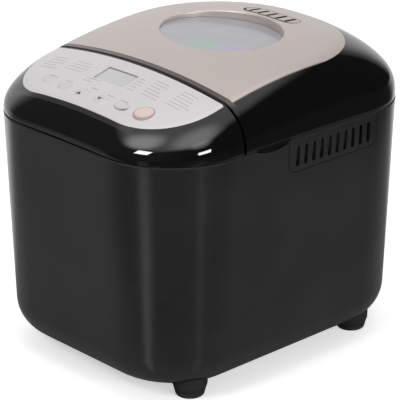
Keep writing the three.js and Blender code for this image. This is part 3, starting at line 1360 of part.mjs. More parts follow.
function gland() {
  const wall = wallY(GLAND_Z);
  const flange = GLAND_RADIUS + GLAND_FLANGE;
  const lean = BODY_DRAFT * flange; // the leaning wall stands this much prouder at the flange's top
  const body = joined(
    cylinderAlongY(GLAND_RADIUS, wall - WALL - GLAND_NECK, wall + GLAND_PROUD, GLAND_X, GLAND_Z),
    cylinderAlongY(flange, wall + lean + GAP, wall + GLAND_PROUD, GLAND_X, GLAND_Z),
  );
  return body.subtract(cylinderAlongY(GLAND_BORE, 0, BODY_DEPTH, GLAND_X, GLAND_Z, PEG));
}

function powerBoard() {
  const foot = CHASSIS_Z + GAP;
  const x = POWER_BOARD_X;
  const [front, rear] = [POWER_BOARD_Y - POWER_BOARD_HALF_Y, POWER_BOARD_Y + POWER_BOARD_HALF_Y];
  const card = box(x, x + BOARD_THICKNESS, front, rear, foot, foot + POWER_BOARD_HEIGHT);
  const parts = [TRANSFORMER, RELAY, FILTER_CHOKE].map((part) => box(
    x - part.reach,
    x + BITE,
    POWER_BOARD_Y + part.front,
    POWER_BOARD_Y + part.rear,
    foot + part.bottom,
    foot + part.top,
  ));
  return joined(card, ...parts);
}

function capacitor() {
  const foot = CHASSIS_Z + GAP;
  return cylinder(CAPACITOR_RADIUS, foot, foot + CAPACITOR_HEIGHT, CAPACITOR_X, MOTOR_Y);
}

add('cord_gland', gland(), RUBBER);
add('power_board', powerBoard(), GREEN_BOARD);
add('motor_capacitor', capacitor(), DARK_PLASTIC);

export default machine;
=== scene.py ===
import math
import bpy
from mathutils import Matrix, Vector


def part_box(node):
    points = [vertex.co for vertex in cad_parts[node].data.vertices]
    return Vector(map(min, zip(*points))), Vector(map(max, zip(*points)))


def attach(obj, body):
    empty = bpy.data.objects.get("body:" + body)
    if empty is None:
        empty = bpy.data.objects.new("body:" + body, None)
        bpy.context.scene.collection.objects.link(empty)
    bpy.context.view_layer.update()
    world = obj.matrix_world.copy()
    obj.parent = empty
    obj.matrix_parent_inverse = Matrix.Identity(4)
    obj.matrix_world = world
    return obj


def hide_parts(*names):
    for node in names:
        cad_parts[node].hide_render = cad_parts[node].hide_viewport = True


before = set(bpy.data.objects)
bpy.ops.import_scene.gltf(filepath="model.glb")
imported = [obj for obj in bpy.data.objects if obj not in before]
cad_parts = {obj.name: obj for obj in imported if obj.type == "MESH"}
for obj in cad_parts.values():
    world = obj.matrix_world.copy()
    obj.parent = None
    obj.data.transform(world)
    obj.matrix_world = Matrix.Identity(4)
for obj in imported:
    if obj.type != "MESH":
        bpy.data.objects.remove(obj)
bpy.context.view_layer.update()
MM = 0.001  # the machine's sizes are in millimetres, the studio's in metres

# ---- camera
# A long lens a little above the lid, off the front right corner of the machine, so that the
# sloping control panel, the lid with its window and the right side are all seen.

VIEW_AZIMUTH, VIEW_ELEVATION = math.radians(46.927), math.radians(21.8)
VIEW_DISTANCE = 2159.56 * MM
VIEW_CENTRE = Vector((-15.18, 12.81, 124.85)) * MM
LENS, FILM_WIDTH = 200.70, 36

towards_camera = Vector((
    math.sin(VIEW_AZIMUTH) * math.cos(VIEW_ELEVATION),
    -math.cos(VIEW_AZIMUTH) * math.cos(VIEW_ELEVATION),
    math.sin(VIEW_ELEVATION),
))
bpy.ops.object.camera_add(location=VIEW_CENTRE + VIEW_DISTANCE * towards_camera)
camera = bpy.context.active_object
camera.rotation_euler = towards_camera.to_track_quat("Z", "Y").to_euler()
camera.data.sensor_width, camera.data.lens, camera.data.clip_end = FILM_WIDTH, LENS, 20
bpy.context.scene.camera = camera
bpy.context.scene.view_settings.view_transform = "Standard"

# ---- studio
# A white paper floor under soft boxes, in a studio that is white behind the machine and dark
# behind the camera, so that black gloss stays black and its shoulders catch the ceiling.


class Field:
    """A socket of a material; arithmetic on it adds Math nodes to the material."""

    def __init__(self, finish, socket):
        self.finish = finish
        self.socket = socket

    def math(self, operation, *others):
        inputs = dict(enumerate((self, *others)))
        return self.finish.node("ShaderNodeMath", inputs, operation=operation)

    def __add__(self, other):
        return self.math("ADD", other)

    def __sub__(self, other):
        return self.math("SUBTRACT", other)

    def __rsub__(self, other):
        return self.math("MULTIPLY_ADD", -1, other)

    def __mul__(self, other):
        return self.math("MULTIPLY", other)

    def __truediv__(self, other):
        return self.math("DIVIDE", other)

    def __pow__(self, other):
        return self.math("POWER", other)

    __radd__ = __add__
    __rmul__ = __mul__

    def size(self):
        return self.math("ABSOLUTE")

    def root(self):
        return self.math("SQRT")

    def ramp(self, low, high):
        """0 up to low, 1 from high on, smooth between them."""
        inputs = {"Value": self, "From Min": low, "From Max": high}
        return self.finish.node("ShaderNodeMapRange", inputs, interpolation_type="SMOOTHSTEP")

    def within(self, low, high, soft):
        """1 between low and high, 0 outside, with soft edges."""
        return self.ramp(low - soft, low + soft) * self.ramp(high + soft, high - soft)


class Finish:
    """A material or world being mixed from nodes."""

    def __init__(self, owner):
        owner.use_nodes = True
        self.owner = owner
        self.tree = owner.node_tree

    def node(self, kind, inputs=(), out=0, **settings):
        made = self.tree.nodes.new(kind)
        for name, value in settings.items():
            setattr(made, name, value)
        for name, value in dict(inputs).items():
            self.feed(made.inputs[name], value)
        return Field(self, made.outputs[out])

    def feed(self, socket, value):
        if isinstance(value, Field):
            self.tree.links.new(value.socket, socket)
        else:
            socket.default_value = value

    def seen_by(self, kind):
        """1 for rays of one kind, else 0."""
        return self.node("ShaderNodeLightPath", out=f"Is {kind} Ray")

    def along(self, vector, azimuth, elevation=0.0):
        """How far a vector reaches in one direction."""
        a, e = math.radians(azimuth), math.radians(elevation)
        aim = (math.cos(a) * math.cos(e), math.sin(a) * math.cos(e), math.sin(e))
        inputs = {0: vector, 1: aim}
        return self.node("ShaderNodeVectorMath", inputs, "Value", operation="DOT_PRODUCT")

    def grey(self, level):
        return self.node("ShaderNodeCombineColor", {0: level, 1: level, 2: level})


DARK_SIDE_GLOW = 0.1
ROOM_LIGHT = 0.42
# glowing cloths: azimuth, elevation, how near its middle each one starts, its falloff, its strength
CLOTHS = ((-119, 63, 0.93, 3, 3.4), (-12, 68, 0.88, 2, 2.4), (-8, 49, 0.965, 2, 2.0))

world = bpy.data.worlds.new("studio")
bpy.context.scene.world = world
room = Finish(world)
background = world.node_tree.nodes["Background"]
heading = room.node("ShaderNodeTexCoord", out="Generated")
seen, mirrored = room.seen_by("Camera"), room.seen_by("Glossy")

# Azimuth 0 is the machine's right, -90 its front. The white backdrop stands at the rear left.
# The ceiling is dim but for the cloths, which hang before the machine and to its right.
backdrop = room.along(heading, 150)
backdrop = backdrop.ramp(0.665, 0.69) * 0.15 + backdrop.ramp(0.69, 0.86) * 0.75
ceiling = room.along(heading, 0, 90).ramp(0.74, 0.87) * 1.1
for azimuth, elevation, start, falloff, strength in CLOTHS:
    cloth = room.along(heading, azimuth, elevation).ramp(start, 1.0) ** falloff
    ceiling = ceiling + cloth * strength
dark_side = (1 - room.along(heading, 50).ramp(-0.4, 0.6)) * DARK_SIDE_GLOW + 0.02
unseen = mirrored * (backdrop + ceiling + dark_side) + (1 - mirrored) * ROOM_LIGHT
room.feed(background.inputs["Strength"], seen + (1 - seen) * unseen)
room.feed(background.inputs["Color"], (1, 1, 1, 1))

bpy.ops.mesh.primitive_plane_add(size=12)
floor = bpy.context.active_object
floor.name = "studio_floor"
paper = Finish(bpy.data.materials.new("studio_paper"))
mirrored_floor = paper.seen_by("Glossy")
spot = paper.node("ShaderNodeTexCoord", out="Object")
REAR_LEFT, FRONT_RIGHT, REAR_RIGHT = 144, -43, 43
PAPER_WHITE, PAPER_GLOW = 0.85, 0.55


def along_floor(azimuth):
    """Metres from the machine's middle in one direction of the floor."""
    return paper.along(spot, azimuth)


def ray(azimuth, start=(0, 0)):
    """The cosine between one direction of the floor and the way there from a start."""
    away = paper.node("ShaderNodeVectorMath", {0: spot, 1: (*start, 0)}, operation="SUBTRACT")
    away = paper.node("ShaderNodeVectorMath", {0: away}, operation="NORMALIZE")
    return paper.along(away, azimuth)


# What black gloss sees of the table, painted for reflections only: bright behind the machine,
# where it also glows, dim before its front corner but for two pale streaks that paint highlights
# down the housing's front right corner, and dark farther off.
behind_it = ray(REAR_LEFT).ramp(0.45, 0.75)
before_it = along_floor(FRONT_RIGHT).ramp(0.17, 0.31)
right_of_it = along_floor(0).ramp(0.1, 0.3)
# painted highlights: two pale lines on the floor, seen only in gloss, that show on the housing's
# corner
painted_corner_highlight = ray(-79, (0.0957, -0.1596)).ramp(0.9885, 0.997)
thin_painted_highlight = ray(-6, (0.1311, -0.1213)).ramp(0.994, 0.999)
level = 0.35 - before_it * 0.25 - right_of_it * (1 - before_it) * 0.12
level = level + painted_corner_highlight * 1.05 + thin_painted_highlight * 0.45
level = level * (1 - along_floor(FRONT_RIGHT).ramp(0.5, 0.8) * 0.7)
level = level * (1 - along_floor(REAR_RIGHT).ramp(0.56, 0.68) * 0.9)
near_wall = along_floor(REAR_LEFT).ramp(0.03, 0.15)
level = level + behind_it * near_wall * 0.5
lit_cloth = (near_wall * 0.25 + along_floor(REAR_LEFT).ramp(0.34, 0.5) * 0.35) * behind_it
white = (PAPER_WHITE, PAPER_WHITE, PAPER_WHITE, 1)
tints = {0: mirrored_floor, 6: white, 7: paper.grey(level)}
for socket, value in {
    "Base Color": paper.node("ShaderNodeMix", tints, out=2, data_type="RGBA"),
    "Roughness": 0.9,
    "Emission Color": paper.grey(paper.seen_by("Camera") * PAPER_GLOW + lit_cloth * mirrored_floor),
    "Emission Strength": 1,
}.items():
    paper.feed(paper.tree.nodes["Principled BSDF"].inputs[socket], value)
floor.data.materials.append(paper.owner)


def soft_box(name, place, target, size, power, mirrored=False):
    """A lamp that either lights the machine or, hung a little nearer, only shows in its gloss."""
    data = bpy.data.lights.new(name, "AREA")
    data.shape = "RECTANGLE"
    data.size, data.size_y = size
    data.energy = power
    lamp = bpy.data.objects.new(name, data)
    bpy.context.scene.collection.objects.link(lamp)
    away = Vector(place) - Vector(target)
    lamp.location = Vector(target) + away * (0.97 if mirrored else 1)
    lamp.rotation_euler = away.to_track_quat("Z", "Y").to_euler()
    lamp.visible_glossy = mirrored
    lamp.visible_diffuse = not mirrored


soft_box("ceiling_box", (-0.1, 0.2, 2.2), (0, 0, 0.2), (2.0, 1.6), 13)
FRONT_AIM = (0.09, -1.95, 1.99), (0.09, -0.15, 0.25)
RIGHT_AIM = (2.3, -0.32, 0.96), (0.13, -0.09, 0.25)
soft_box("front_box", *FRONT_AIM, (0.6, 0.5), 14)
soft_box("right_box", *RIGHT_AIM, (0.6, 0.5), 16)
soft_box("front_cloth", *FRONT_AIM, (0.62, 0.56), 28, mirrored=True)
soft_box("right_cloth", *RIGHT_AIM, (0.6, 0.42), 20, mirrored=True)

# ---- housing
# The machine's outer case is one moulding of matt black plastic. Its walls lean inwards to a
# rounded bottom edge, and its rim carries the bezel and the lid.


def corners_of(node):
    """A CAD node's lowest and highest corners."""
    return [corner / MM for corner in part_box(node)]


def middle_of(node):
    """The middle of a CAD node's box."""
    return [(a + b) / 2 for a, b in zip(*corners_of(node))]


HOUSING_LOW, HOUSING_HIGH = corners_of("outer_housing")
HALF_WIDTH, REAR_Y, SEAM_Z = HOUSING_HIGH
FOOT_HEIGHT = HOUSING_LOW.z
CORNER_RADIUS, BOTTOM_RADIUS, WALL_LEAN = 83, 31.7, 0.0356
WALL, GAP, RIM_ROUND = 2.5, 0.3, 0.6
CORNER_STEPS, EDGE_STEPS = 30, 10  # how finely an outline's corners and edges are divided
FAR = 300  # beyond the machine in every direction, for tools that cut right through it
SIDES = ("left", -1), ("right", 1)


def arc(x, y, radius, start, end, steps=CORNER_STEPS):
    """Points along an arc between two angles in degrees."""
    turns = [math.radians(start + (end - start) * k / steps) for k in range(steps + 1)]
    return [(x + radius * math.cos(t), y + radius * math.sin(t)) for t in turns]


def oval(x, y, half_x, half_y, sides):
    turns = [2 * math.pi * k / sides for k in range(sides)]
    return [(x + half_x * math.cos(t), y + half_y * math.sin(t)) for t in turns]


def rounded_outline(half_x, front, rear, front_radius, rear_radius):
    """A rounded rectangle's points, anticlockwise from the front edge's right end."""
    arcs = [
        arc(half_x - front_radius, front + front_radius, front_radius, -90, 0),
        arc(half_x - rear_radius, rear - rear_radius, rear_radius, 0, 90),
        arc(rear_radius - half_x, rear - rear_radius, rear_radius, 90, 180),
        arc(front_radius - half_x, front + front_radius, front_radius, 180, 270),
    ]
    points = []
    for k, corner in enumerate(arcs):
        (x0, y0), (x1, y1) = corner[-1], arcs[(k + 1) % 4][0]
        shares = [i / EDGE_STEPS for i in range(1, EDGE_STEPS)]
        points += corner + [(x0 + (x1 - x0) * s, y0 + (y1 - y0) * s) for s in shares]
    return points


def at_height(points, z):
    return [(x, y, z) for x, y in points]


def choose(piece):
    bpy.ops.object.select_all(action="DESELECT")
    piece.select_set(True)
    bpy.context.view_layer.objects.active = piece


def skinned(name, rings, ends="filled"):
    """A closed form through rings of equally many points: its two ends are filled, or joined."""
    rings = [*rings, rings[0]] if ends == "joined" else rings
    bpy.ops.object.select_all(action="DESELECT")
    bpy.ops.mesh.primitive_grid_add(x_subdivisions=len(rings[0]), y_subdivisions=len(rings) - 1)
    piece = bpy.context.active_object
    piece.name = piece.data.name = name
    places = [point for ring in rings for point in (*ring, ring[0])]
    piece.data.vertices.foreach_set("co", [MM * c for point in places for c in point])
    bpy.ops.object.mode_set(mode="EDIT")
    bpy.ops.mesh.select_all(action="SELECT")
    bpy.ops.mesh.remove_doubles(threshold=0.002 * MM)
    bpy.ops.mesh.fill_holes(sides=0)
    bpy.ops.mesh.select_all(action="SELECT")
    bpy.ops.mesh.normals_make_consistent(inside=False)
    bpy.ops.object.mode_set(mode="OBJECT")
    return piece


def column(points, low, high):
    return skinned("column", [at_height(points, low), at_height(points, high)])


def modified(piece, kind, **settings):
    """Applies one modifier to the piece."""
    choose(piece)
    bpy.ops.object.modifier_add(type=kind)
    modifier = piece.modifiers[-1]
    for name, value in settings.items():
        setattr(modifier, name, value)
    bpy.ops.object.modifier_apply(modifier=modifier.name)
    return piece


def joined_by(piece, operation, *tools):
    for tool in tools:
        modified(piece, "BOOLEAN", object=tool, operation=operation, solver="MANIFOLD")
        bpy.data.objects.remove(tool)
    return piece


def cut(piece, *tools):
    return joined_by(piece, "DIFFERENCE", *tools)


def fused(piece, *others):
    return joined_by(piece, "UNION", *others)


def common(piece, *others):
    return joined_by(piece, "INTERSECT", *others)


def block(low, high, round_edges=0, along="z", steps=6):
    """A box between two corners; round_edges rounds the four edges that run along one axis."""
    middle = [(a + b) / 2 * MM for a, b in zip(low, high)]
    bpy.ops.object.select_all(action="DESELECT")
    bpy.ops.mesh.primitive_cube_add(size=1, location=middle)
    piece = bpy.context.active_object
    piece.scale = [(b - a) * MM for a, b in zip(low, high)]
    bpy.ops.object.transform_apply(location=True, rotation=True, scale=True)
    if round_edges:
        axis = "xyz".index(along)
        bpy.ops.object.mode_set(mode="EDIT")
        bpy.ops.mesh.select_mode(type="EDGE")
        bpy.ops.mesh.select_all(action="DESELECT")
        bpy.ops.object.mode_set(mode="OBJECT")
        for edge in piece.data.edges:
            a, b = (piece.data.vertices[v].co for v in edge.vertices)
            edge.select = abs((a - b)[axis]) > 0.9 * (high[axis] - low[axis]) * MM
        bpy.ops.object.mode_set(mode="EDIT")
        bpy.ops.mesh.bevel(offset=round_edges * MM, segments=steps, affect="EDGES")
        bpy.ops.object.mode_set(mode="OBJECT")
    return piece


def slab(half_x, half_y, corner, low, high, y=0):
    return block((-half_x, y - half_y, low), (half_x, y + half_y, high), corner, "z", 14)


def rod(radius, start, end, sides=48):
    """A round bar from one point to another."""
    a, b = Vector(start) * MM, Vector(end) * MM
    turn = (b - a).to_track_quat("Z", "Y").to_euler()
    bpy.ops.object.select_all(action="DESELECT")
    bpy.ops.mesh.primitive_cylinder_add(
        vertices=sides, radius=radius * MM, depth=(b - a).length,
        location=(a + b) / 2, rotation=turn,
    )
    bpy.ops.object.transform_apply(location=True, rotation=True, scale=True)
    return bpy.context.active_object


def post(radius, x, y, low, high, sides=48):
    """An upright round bar."""
    return rod(radius, (x, y, low), (x, y, high), sides)


def axle(radius, x0, x1, y, z, sides=48):
    """A round bar that lies across the machine."""
    return rod(radius, (x0, y, z), (x1, y, z), sides)


def turned(name, profile, x=0, y=0, ends="filled", sides=64):
    """A turned piece from its profile of (radius, z)."""
    return skinned(name, [at_height(oval(x, y, r, r, sides), z) for r, z in profile], ends)


def drilled(piece, y, reach, count, radius, low, high, first=0):
    """Cuts upright holes, spaced evenly round a circle."""
    for k in range(count):
        turn = math.radians(first + 360 * k / count)
        cut(piece, post(radius, reach * math.cos(turn), y + reach * math.sin(turn), low, high))
    return piece


def smoothed(piece, degrees=32, bevel=0, steps=2):
    """Softens a piece's sharp edges and shades its curved faces smoothly."""
    if bevel:
        modified(
            piece, "BEVEL", width=bevel * MM, segments=steps, limit_method="ANGLE",
            angle_limit=math.radians(40), use_clamp_overlap=True,
        )
    choose(piece)
    bpy.ops.object.shade_smooth_by_angle(angle=math.radians(degrees))
    return modified(piece, "WEIGHTED_NORMAL", keep_sharp=True)


def fitted(piece, name, body, slot, finish, *nodes):
    """Names a finished piece, gives it its material and its body, and hides what it stands for."""
    piece.name = piece.data.name = name
    piece.data.materials.clear()
    piece.data.materials.append(finish.owner)
    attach(piece, body)
    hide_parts(*nodes)


def housing_ring(z, inset=0):
    radius = BOTTOM_RADIUS - inset
    below = min(max(radius - (z - FOOT_HEIGHT - inset), 0), radius)
    lean = WALL_LEAN * (SEAM_Z - z) + inset + radius - math.sqrt(radius ** 2 - below ** 2)
    corner = CORNER_RADIUS - lean
    return rounded_outline(HALF_WIDTH - lean, lean - REAR_Y, REAR_Y - lean, corner, corner)


def housing_rings(inset, *heights, steps=12):
    """Rings up the housing's rounded bottom edge, then at the heights given."""
    radius, foot = BOTTOM_RADIUS - inset, FOOT_HEIGHT + inset
    rises = [radius * (1 - math.cos(math.radians(90 * k / steps))) for k in range(steps + 1)]
    levels = [*(foot + rise for rise in rises), *heights]
    return [at_height(housing_ring(z, inset), z) for z in levels]


BASE_HALF_X, BASE_HALF_Y, BASE_CORNER = 80.3, 120.3, 24.3
NOTCH_Y, NOTCH_Z, NOTCH_RADIUS = -41, 288.125, 57.125
GRILLE_LOW, GRILLE_HIGH = corners_of("vent_grille_right")
GRILLE_CORNER = 10
GLAND_X, _, GLAND_Z = middle_of("cord_gland")


def housing_wall():
    opening = rounded_outline(BASE_HALF_X, -BASE_HALF_Y, BASE_HALF_Y, BASE_CORNER, BASE_CORNER)
    rim = at_height(housing_ring(SEAM_Z, RIM_ROUND), SEAM_Z)
    outside = [at_height(opening, FOOT_HEIGHT), *housing_rings(0, SEAM_Z - RIM_ROUND), rim]
    inside = [at_height(opening, FOOT_HEIGHT + WALL), *housing_rings(WALL, SEAM_Z)]
    return skinned("housing_wall", [*outside, *reversed(inside)], ends="joined")


def grille_block(side, margin):
    """The space of a side grille, with its two lower corners rounded."""
    low = (HALF_WIDTH / 2, GRILLE_LOW.y - margin, GRILLE_LOW.z - margin)
    high = (HALF_WIDTH + 5, GRILLE_HIGH.y + margin, SEAM_Z + 40)
    if side < 0:
        low, high = (-high[0], *low[1:]), (-low[0], *high[1:])
    return block(low, high, GRILLE_CORNER + margin, "x")


def notch_tool(radius):
    reach = HALF_WIDTH + 9
    return axle(radius, -reach, reach, NOTCH_Y, NOTCH_Z, 360)


class Surface(Finish):
    """A new material, read in the object's own millimetres."""

    def __init__(self, name):
        super().__init__(bpy.data.materials.new(name))
        self.place = self.node("ShaderNodeTexCoord", out="Object")
        self.x, self.y, self.z = (
            self.node("ShaderNodeSeparateXYZ", {0: self.place}, out=axis) / MM for axis in range(3)
        )

    def noise(self, size, detail=2.0, stretch=(1, 1, 1)):
        """Cloudy variation from 0 to 1, its patches about size millimetres across."""
        where = self.node("ShaderNodeMapping", {"Vector": self.place, "Scale": stretch})
        inputs = {"Vector": where, "Scale": 1 / (size * MM), "Detail": detail}
        return self.node("ShaderNodeTexNoise", inputs)

    def cells(self, size, out="Distance"):
        """How far it is to the middle of the nearest of many small cells."""
        inputs = {"Vector": self.place, "Scale": 1 / (size * MM)}
        return self.node("ShaderNodeTexVoronoi", inputs, out=out)

    def facets(self, size):
        """Small cells, each with one level of its own from 0 to 1."""
        return self.node("ShaderNodeSeparateColor", {0: self.cells(size, "Color")})

    def tinted(self, mask, low, high):
        """A colour that goes from low to high as the mask goes from 0 to 1."""
        settings = {"data_type": "RGBA", "clamp_factor": True}
        return self.node("ShaderNodeMix", {0: mask, 6: low, 7: high}, out=2, **settings)

    def relief(self, depth, height):
        """A bump as deep as depth millimetres where the height field goes from 0 to 1."""
        inputs = {"Height": height, "Distance": depth * MM, "Strength": 1.0}
        return self.node("ShaderNodeBump", inputs)

    def shade(self, sockets):
        for name, value in sockets.items():
            self.feed(self.tree.nodes["Principled BSDF"].inputs[name], value)


def screen(red, green, blue):
    """A colour from its 0-255 values on a screen."""
    def light(c):
        return c / 255 / 12.92 if c <= 10 else ((c / 255 + 0.055) / 1.055) ** 2.4
    return light(red), light(green), light(blue), 1


# Matt black plastic: a fine spark-eroded grain, faint flow clouds from the moulding, and a band
# along the bottom edge that is scuffed a little paler. The top of the rim is rougher.
matte_black = Surface("matte_black_plastic")
grain = matte_black.noise(0.45, 3)
clouds = matte_black.noise(60, 3)
scuffs = matte_black.z.ramp(70, 18) * matte_black.noise(9, 6, (1, 1, 0.25)).ramp(0.56, 0.78)
worn = scuffs * 0.35 + clouds.ramp(0.3, 0.7) * 0.25 + grain * 0.25
rim_top = matte_black.z.ramp(SEAM_Z - 1.2, SEAM_Z - 0.9)
matte_black.shade({
    "Base Color": matte_black.tinted(worn * (1 - rim_top), screen(28, 27, 27), screen(50, 48, 49)),
    "Roughness": 0.22 + (grain - 0.5) * 0.1 + scuffs * 0.1 + rim_top * 0.55,
    "Specular IOR Level": 0.5,
    "Normal": matte_black.relief(0.012, grain),
})

housing = housing_wall()
cut(housing, notch_tool(NOTCH_RADIUS), grille_block(1, GAP), grille_block(-1, GAP))
cut(housing, rod(7.3, (GLAND_X, REAR_Y - 25, GLAND_Z), (GLAND_X, REAR_Y + 10, GLAND_Z)))
smoothed(housing)
fitted(housing, "housing_shell", "housing", "body_black", matte_black, "outer_housing")

# ---- side grilles
# A slotted insert of the same matt plastic snaps into the rim on each side, under the lid. Ten
# upright slots let the steam out.

GRILLE_SLOTS, GRILLE_END = 10, 12.05
SLOT_BOTTOM, SLOT_TOP, SLOT_WIDTH = GRILLE_LOW.z + 5.2, SEAM_Z - 7.2, 4.2
grille_pitch = (GRILLE_HIGH.y - GRILLE_LOW.y + 2 * GAP - 2 * GRILLE_END) / (GRILLE_SLOTS - 1)

for word, side in SIDES:
    grille = common(housing_wall(), grille_block(side, -0.35))
    x0, x1 = sorted((side * (HALF_WIDTH - 15), side * (HALF_WIDTH + 5)))
    for k in range(GRILLE_SLOTS):
        y = GRILLE_LOW.y - GAP + GRILLE_END + k * grille_pitch
        y0, y1 = y - SLOT_WIDTH / 2, y + SLOT_WIDTH / 2
        cut(grille, block((x0, y0, SLOT_BOTTOM), (x1, y1, SLOT_TOP), 1.1, "x"))
    smoothed(grille, bevel=0.3)
    name, node = f"side_grille_{word}", f"vent_grille_{word}"
    fitted(grille, name, "housing", "body_black", matte_black, node)

# ---- feet
# Four tapered rubber feet plug into the rounded bottom edge. Their tops follow its curve, and a
# groove runs round each one above the tread.

rubber = Surface("foot_rubber")
powder = rubber.noise(0.5, 4)
dusty = rubber.z.ramp(5, 0.5) * rubber.noise(4, 5).ramp(0.35, 0.7)
rubber.shade({
    "Base Color": rubber.tinted(dusty * 0.7 + powder * 0.2, screen(22, 22, 23), screen(86, 83, 80)),
    "Roughness": 0.78 + powder * 0.12,
    "Normal": rubber.relief(0.03, powder),
})

FOOT_PROFILE = (
    (7, 0), (11.3, 0), (12.6, 0.3), (13.4, 1.1), (13.8, 2.4), (14.5, 4.8), (14.1, 5.2), (14.1, 5.9),
    (14.7, 6.3), (15.6, 9.2), (16.2, 10.6), (16.4, 12), (16.4, 22.5),
)
for node in ("foot_front_left", "foot_front_right", "foot_rear_left", "foot_rear_right"):
    x, y, _ = middle_of(node)
    foot = cut(turned(node, FOOT_PROFILE, x, y), skinned("form", housing_rings(-0.05, SEAM_Z)))
    smoothed(foot, 40)
    fitted(foot, f"rubber_{node}", "housing", "foot_rubber", rubber, node)

# ---- base plate
# A moulded plate closes the bottom. Its flange laps over the edge of the housing's opening, slots
# in it feed cooling air to the drive, and four screws draw it up to the legs of the chassis.

moulded_black = Surface("moulded_black_plastic")
sand = moulded_black.noise(0.6, 3)
moulding_flow = sand * 0.4 + moulded_black.noise(45) * 0.6
moulded_black.shade({
    "Base Color": moulded_black.tinted(moulding_flow, screen(30, 30, 31), screen(44, 43, 43)),
    "Roughness": 0.52 + sand * 0.12,
    "Normal": moulded_black.relief(0.02, sand),
})

PLATE_LOW, PLATE_HIGH = corners_of("base_plate")
FLANGE, FLANGE_THICKNESS = 7, 2
BASE_SLOTS, BASE_SLOT_PITCH = 7, 12
SCREW_HOLE, SCREW_HEAD_HOLE = 2.1, 3.9
CHAMBER_LOW, CHAMBER_HIGH = corners_of("oven_chamber")
CHAMBER_Y = middle_of("oven_chamber")[1]
SCREWS = [middle_of(f"base_screw_{k}")[:2] for k in (1, 2, 3, 4)]

half_x, half_y, plate_top = PLATE_HIGH.x - FLANGE, PLATE_HIGH.y - FLANGE, PLATE_HIGH.z
plate = slab(half_x, half_y, BASE_CORNER - GAP, PLATE_LOW.z, plate_top)
lap = half_x + FLANGE, half_y + FLANGE, BASE_CORNER + FLANGE
fused(plate, slab(*lap, plate_top - FLANGE_THICKNESS, plate_top))
groove = slab(half_x - 6, half_y - 6, BASE_CORNER - 6, 0, PLATE_LOW.z + 0.7)
cut(plate, cut(groove, slab(half_x - 8, half_y - 8, BASE_CORNER - 8, -1, 20)))
for k in range(BASE_SLOTS):
    y = CHAMBER_Y + (k - (BASE_SLOTS - 1) / 2) * BASE_SLOT_PITCH
    cut(plate, block((-23, y - 2, 0), (23, y + 2, 40), 1.9))
for x, y in SCREWS:
    cut(plate, post(SCREW_HOLE, x, y, 0, 40), post(SCREW_HEAD_HOLE, x, y, 0, PLATE_LOW.z + 1.6))
smoothed(plate, bevel=0.4)
fitted(plate, "bottom_plate", "housing", "inner_plastic", moulded_black, "base_plate")

# Zinc-plated steel: the crystals of the plating show as faint facets, over the fine lines that
# rolling left in the sheet.
zinc = Surface("zinc_plated_steel")
crystal = zinc.facets(6)
rolling = zinc.noise(0.9, 4, (1, 0.06, 1))
plating = crystal * 0.5 + rolling * 0.4
zinc.shade({
    "Base Color": zinc.tinted(plating, screen(158, 160, 163), screen(198, 199, 200)),
    "Metallic": 0.85,
    "Roughness": 0.3 + crystal * 0.14 + rolling * 0.06,
    "Normal": zinc.relief(0.01, rolling),
})
SCREW_HEAD = (2.6, 12.5), (3.4, 12.8), (3.6, 13.3), (3.6, 14.1), (1.8, 14.1)
THREAD = [(r, 16 + 0.6 * k + up) for k in range(18) for r, up in ((1.8, 0), (1.5, 0.3))]
SCREW_POINT = (1.7, 27.4), (0.9, 28.5)
for k, (x, y) in enumerate(SCREWS, 1):
    screw = turned("screw", (*SCREW_HEAD, *THREAD, *SCREW_POINT), x, y, sides=24)
    for reach_x, reach_y in ((2, 0.4), (0.4, 2)):
        cut(screw, block((x - reach_x, y - reach_y, 10), (x + reach_x, y + reach_y, 13.4)))
    smoothed(screw, 40)
    fitted(screw, f"plate_screw_{k}", "housing", "zinc_steel", zinc, f"base_screw_{k}")

# ---- chassis
# A pressed plate on four legs carries the oven, the motor and the bearing. Short posts on it
# hold the oven off the plate, and a groove pressed along each side stiffens it.

CHASSIS_LOW, CHASSIS_HIGH = corners_of("chassis")
MOTOR_LOW, MOTOR_HIGH = corners_of("drive_motor")
MOTOR_Y = middle_of("drive_motor")[1]
CHASSIS_Z = MOTOR_LOW.z - GAP
POST_X, POST_Y, LEG_RADIUS, BEARING_HOLE = 74, 62, 6, 11.3
half_y = (CHASSIS_HIGH.y - CHASSIS_LOW.y) / 2
chassis = slab(CHASSIS_HIGH.x, half_y, 44.9, CHASSIS_Z - 2, CHASSIS_Z, middle_of("chassis")[1])
for x, y in SCREWS:
    fused(chassis, post(LEG_RADIUS, x, y, CHASSIS_LOW.z, CHASSIS_Z - 1))
    cut(chassis, post(SCREW_HOLE, x, y, 0, 28.8))
for x in (-POST_X, POST_X):
    for y in (CHAMBER_Y - POST_Y, CHAMBER_Y + POST_Y):
        fused(chassis, post(LEG_RADIUS, x, y, CHASSIS_Z - 1, CHASSIS_HIGH.z))
    low, high = (x - 1.5, CHAMBER_Y - 48, CHASSIS_Z - 0.8), (x + 1.5, CHAMBER_Y + 48, 70)
    cut(chassis, block(low, high, 1.4))
cut(chassis, post(BEARING_HOLE, 0, CHAMBER_Y, 0, 90), post(7, 0, MOTOR_Y, 0, 90))
smoothed(chassis, bevel=0.3)
fitted(chassis, "chassis_plate", "housing", "zinc_steel", zinc, "chassis")

# ---- drive
# A die-cast bearing holds the drive shaft under the oven. The motor turns it through a flat
# belt and a large moulded pulley, and a coupling with two dogs carries the drive to the pan.

cast = Surface("cast_aluminium")
skin_pits = cast.noise(0.8, 4)
cast_skin = skin_pits * 0.5 + cast.noise(18) * 0.5
cast.shade({
    "Base Color": cast.tinted(cast_skin, screen(164, 165, 167), screen(196, 197, 198)),
    "Metallic": 0.8,
    "Roughness": 0.4 + skin_pits * 0.16,
    "Normal": cast.relief(0.02, skin_pits),
})
ground = Surface("ground_steel")
turning = ground.noise(0.5, 3, (0.2, 0.2, 1))
ground.shade({
    "Base Color": ground.tinted(turning, screen(150, 150, 152), screen(190, 190, 191)),
    "Metallic": 0.95,
    "Roughness": 0.22 + turning * 0.12,
    "Normal": ground.relief(0.004, turning),
})

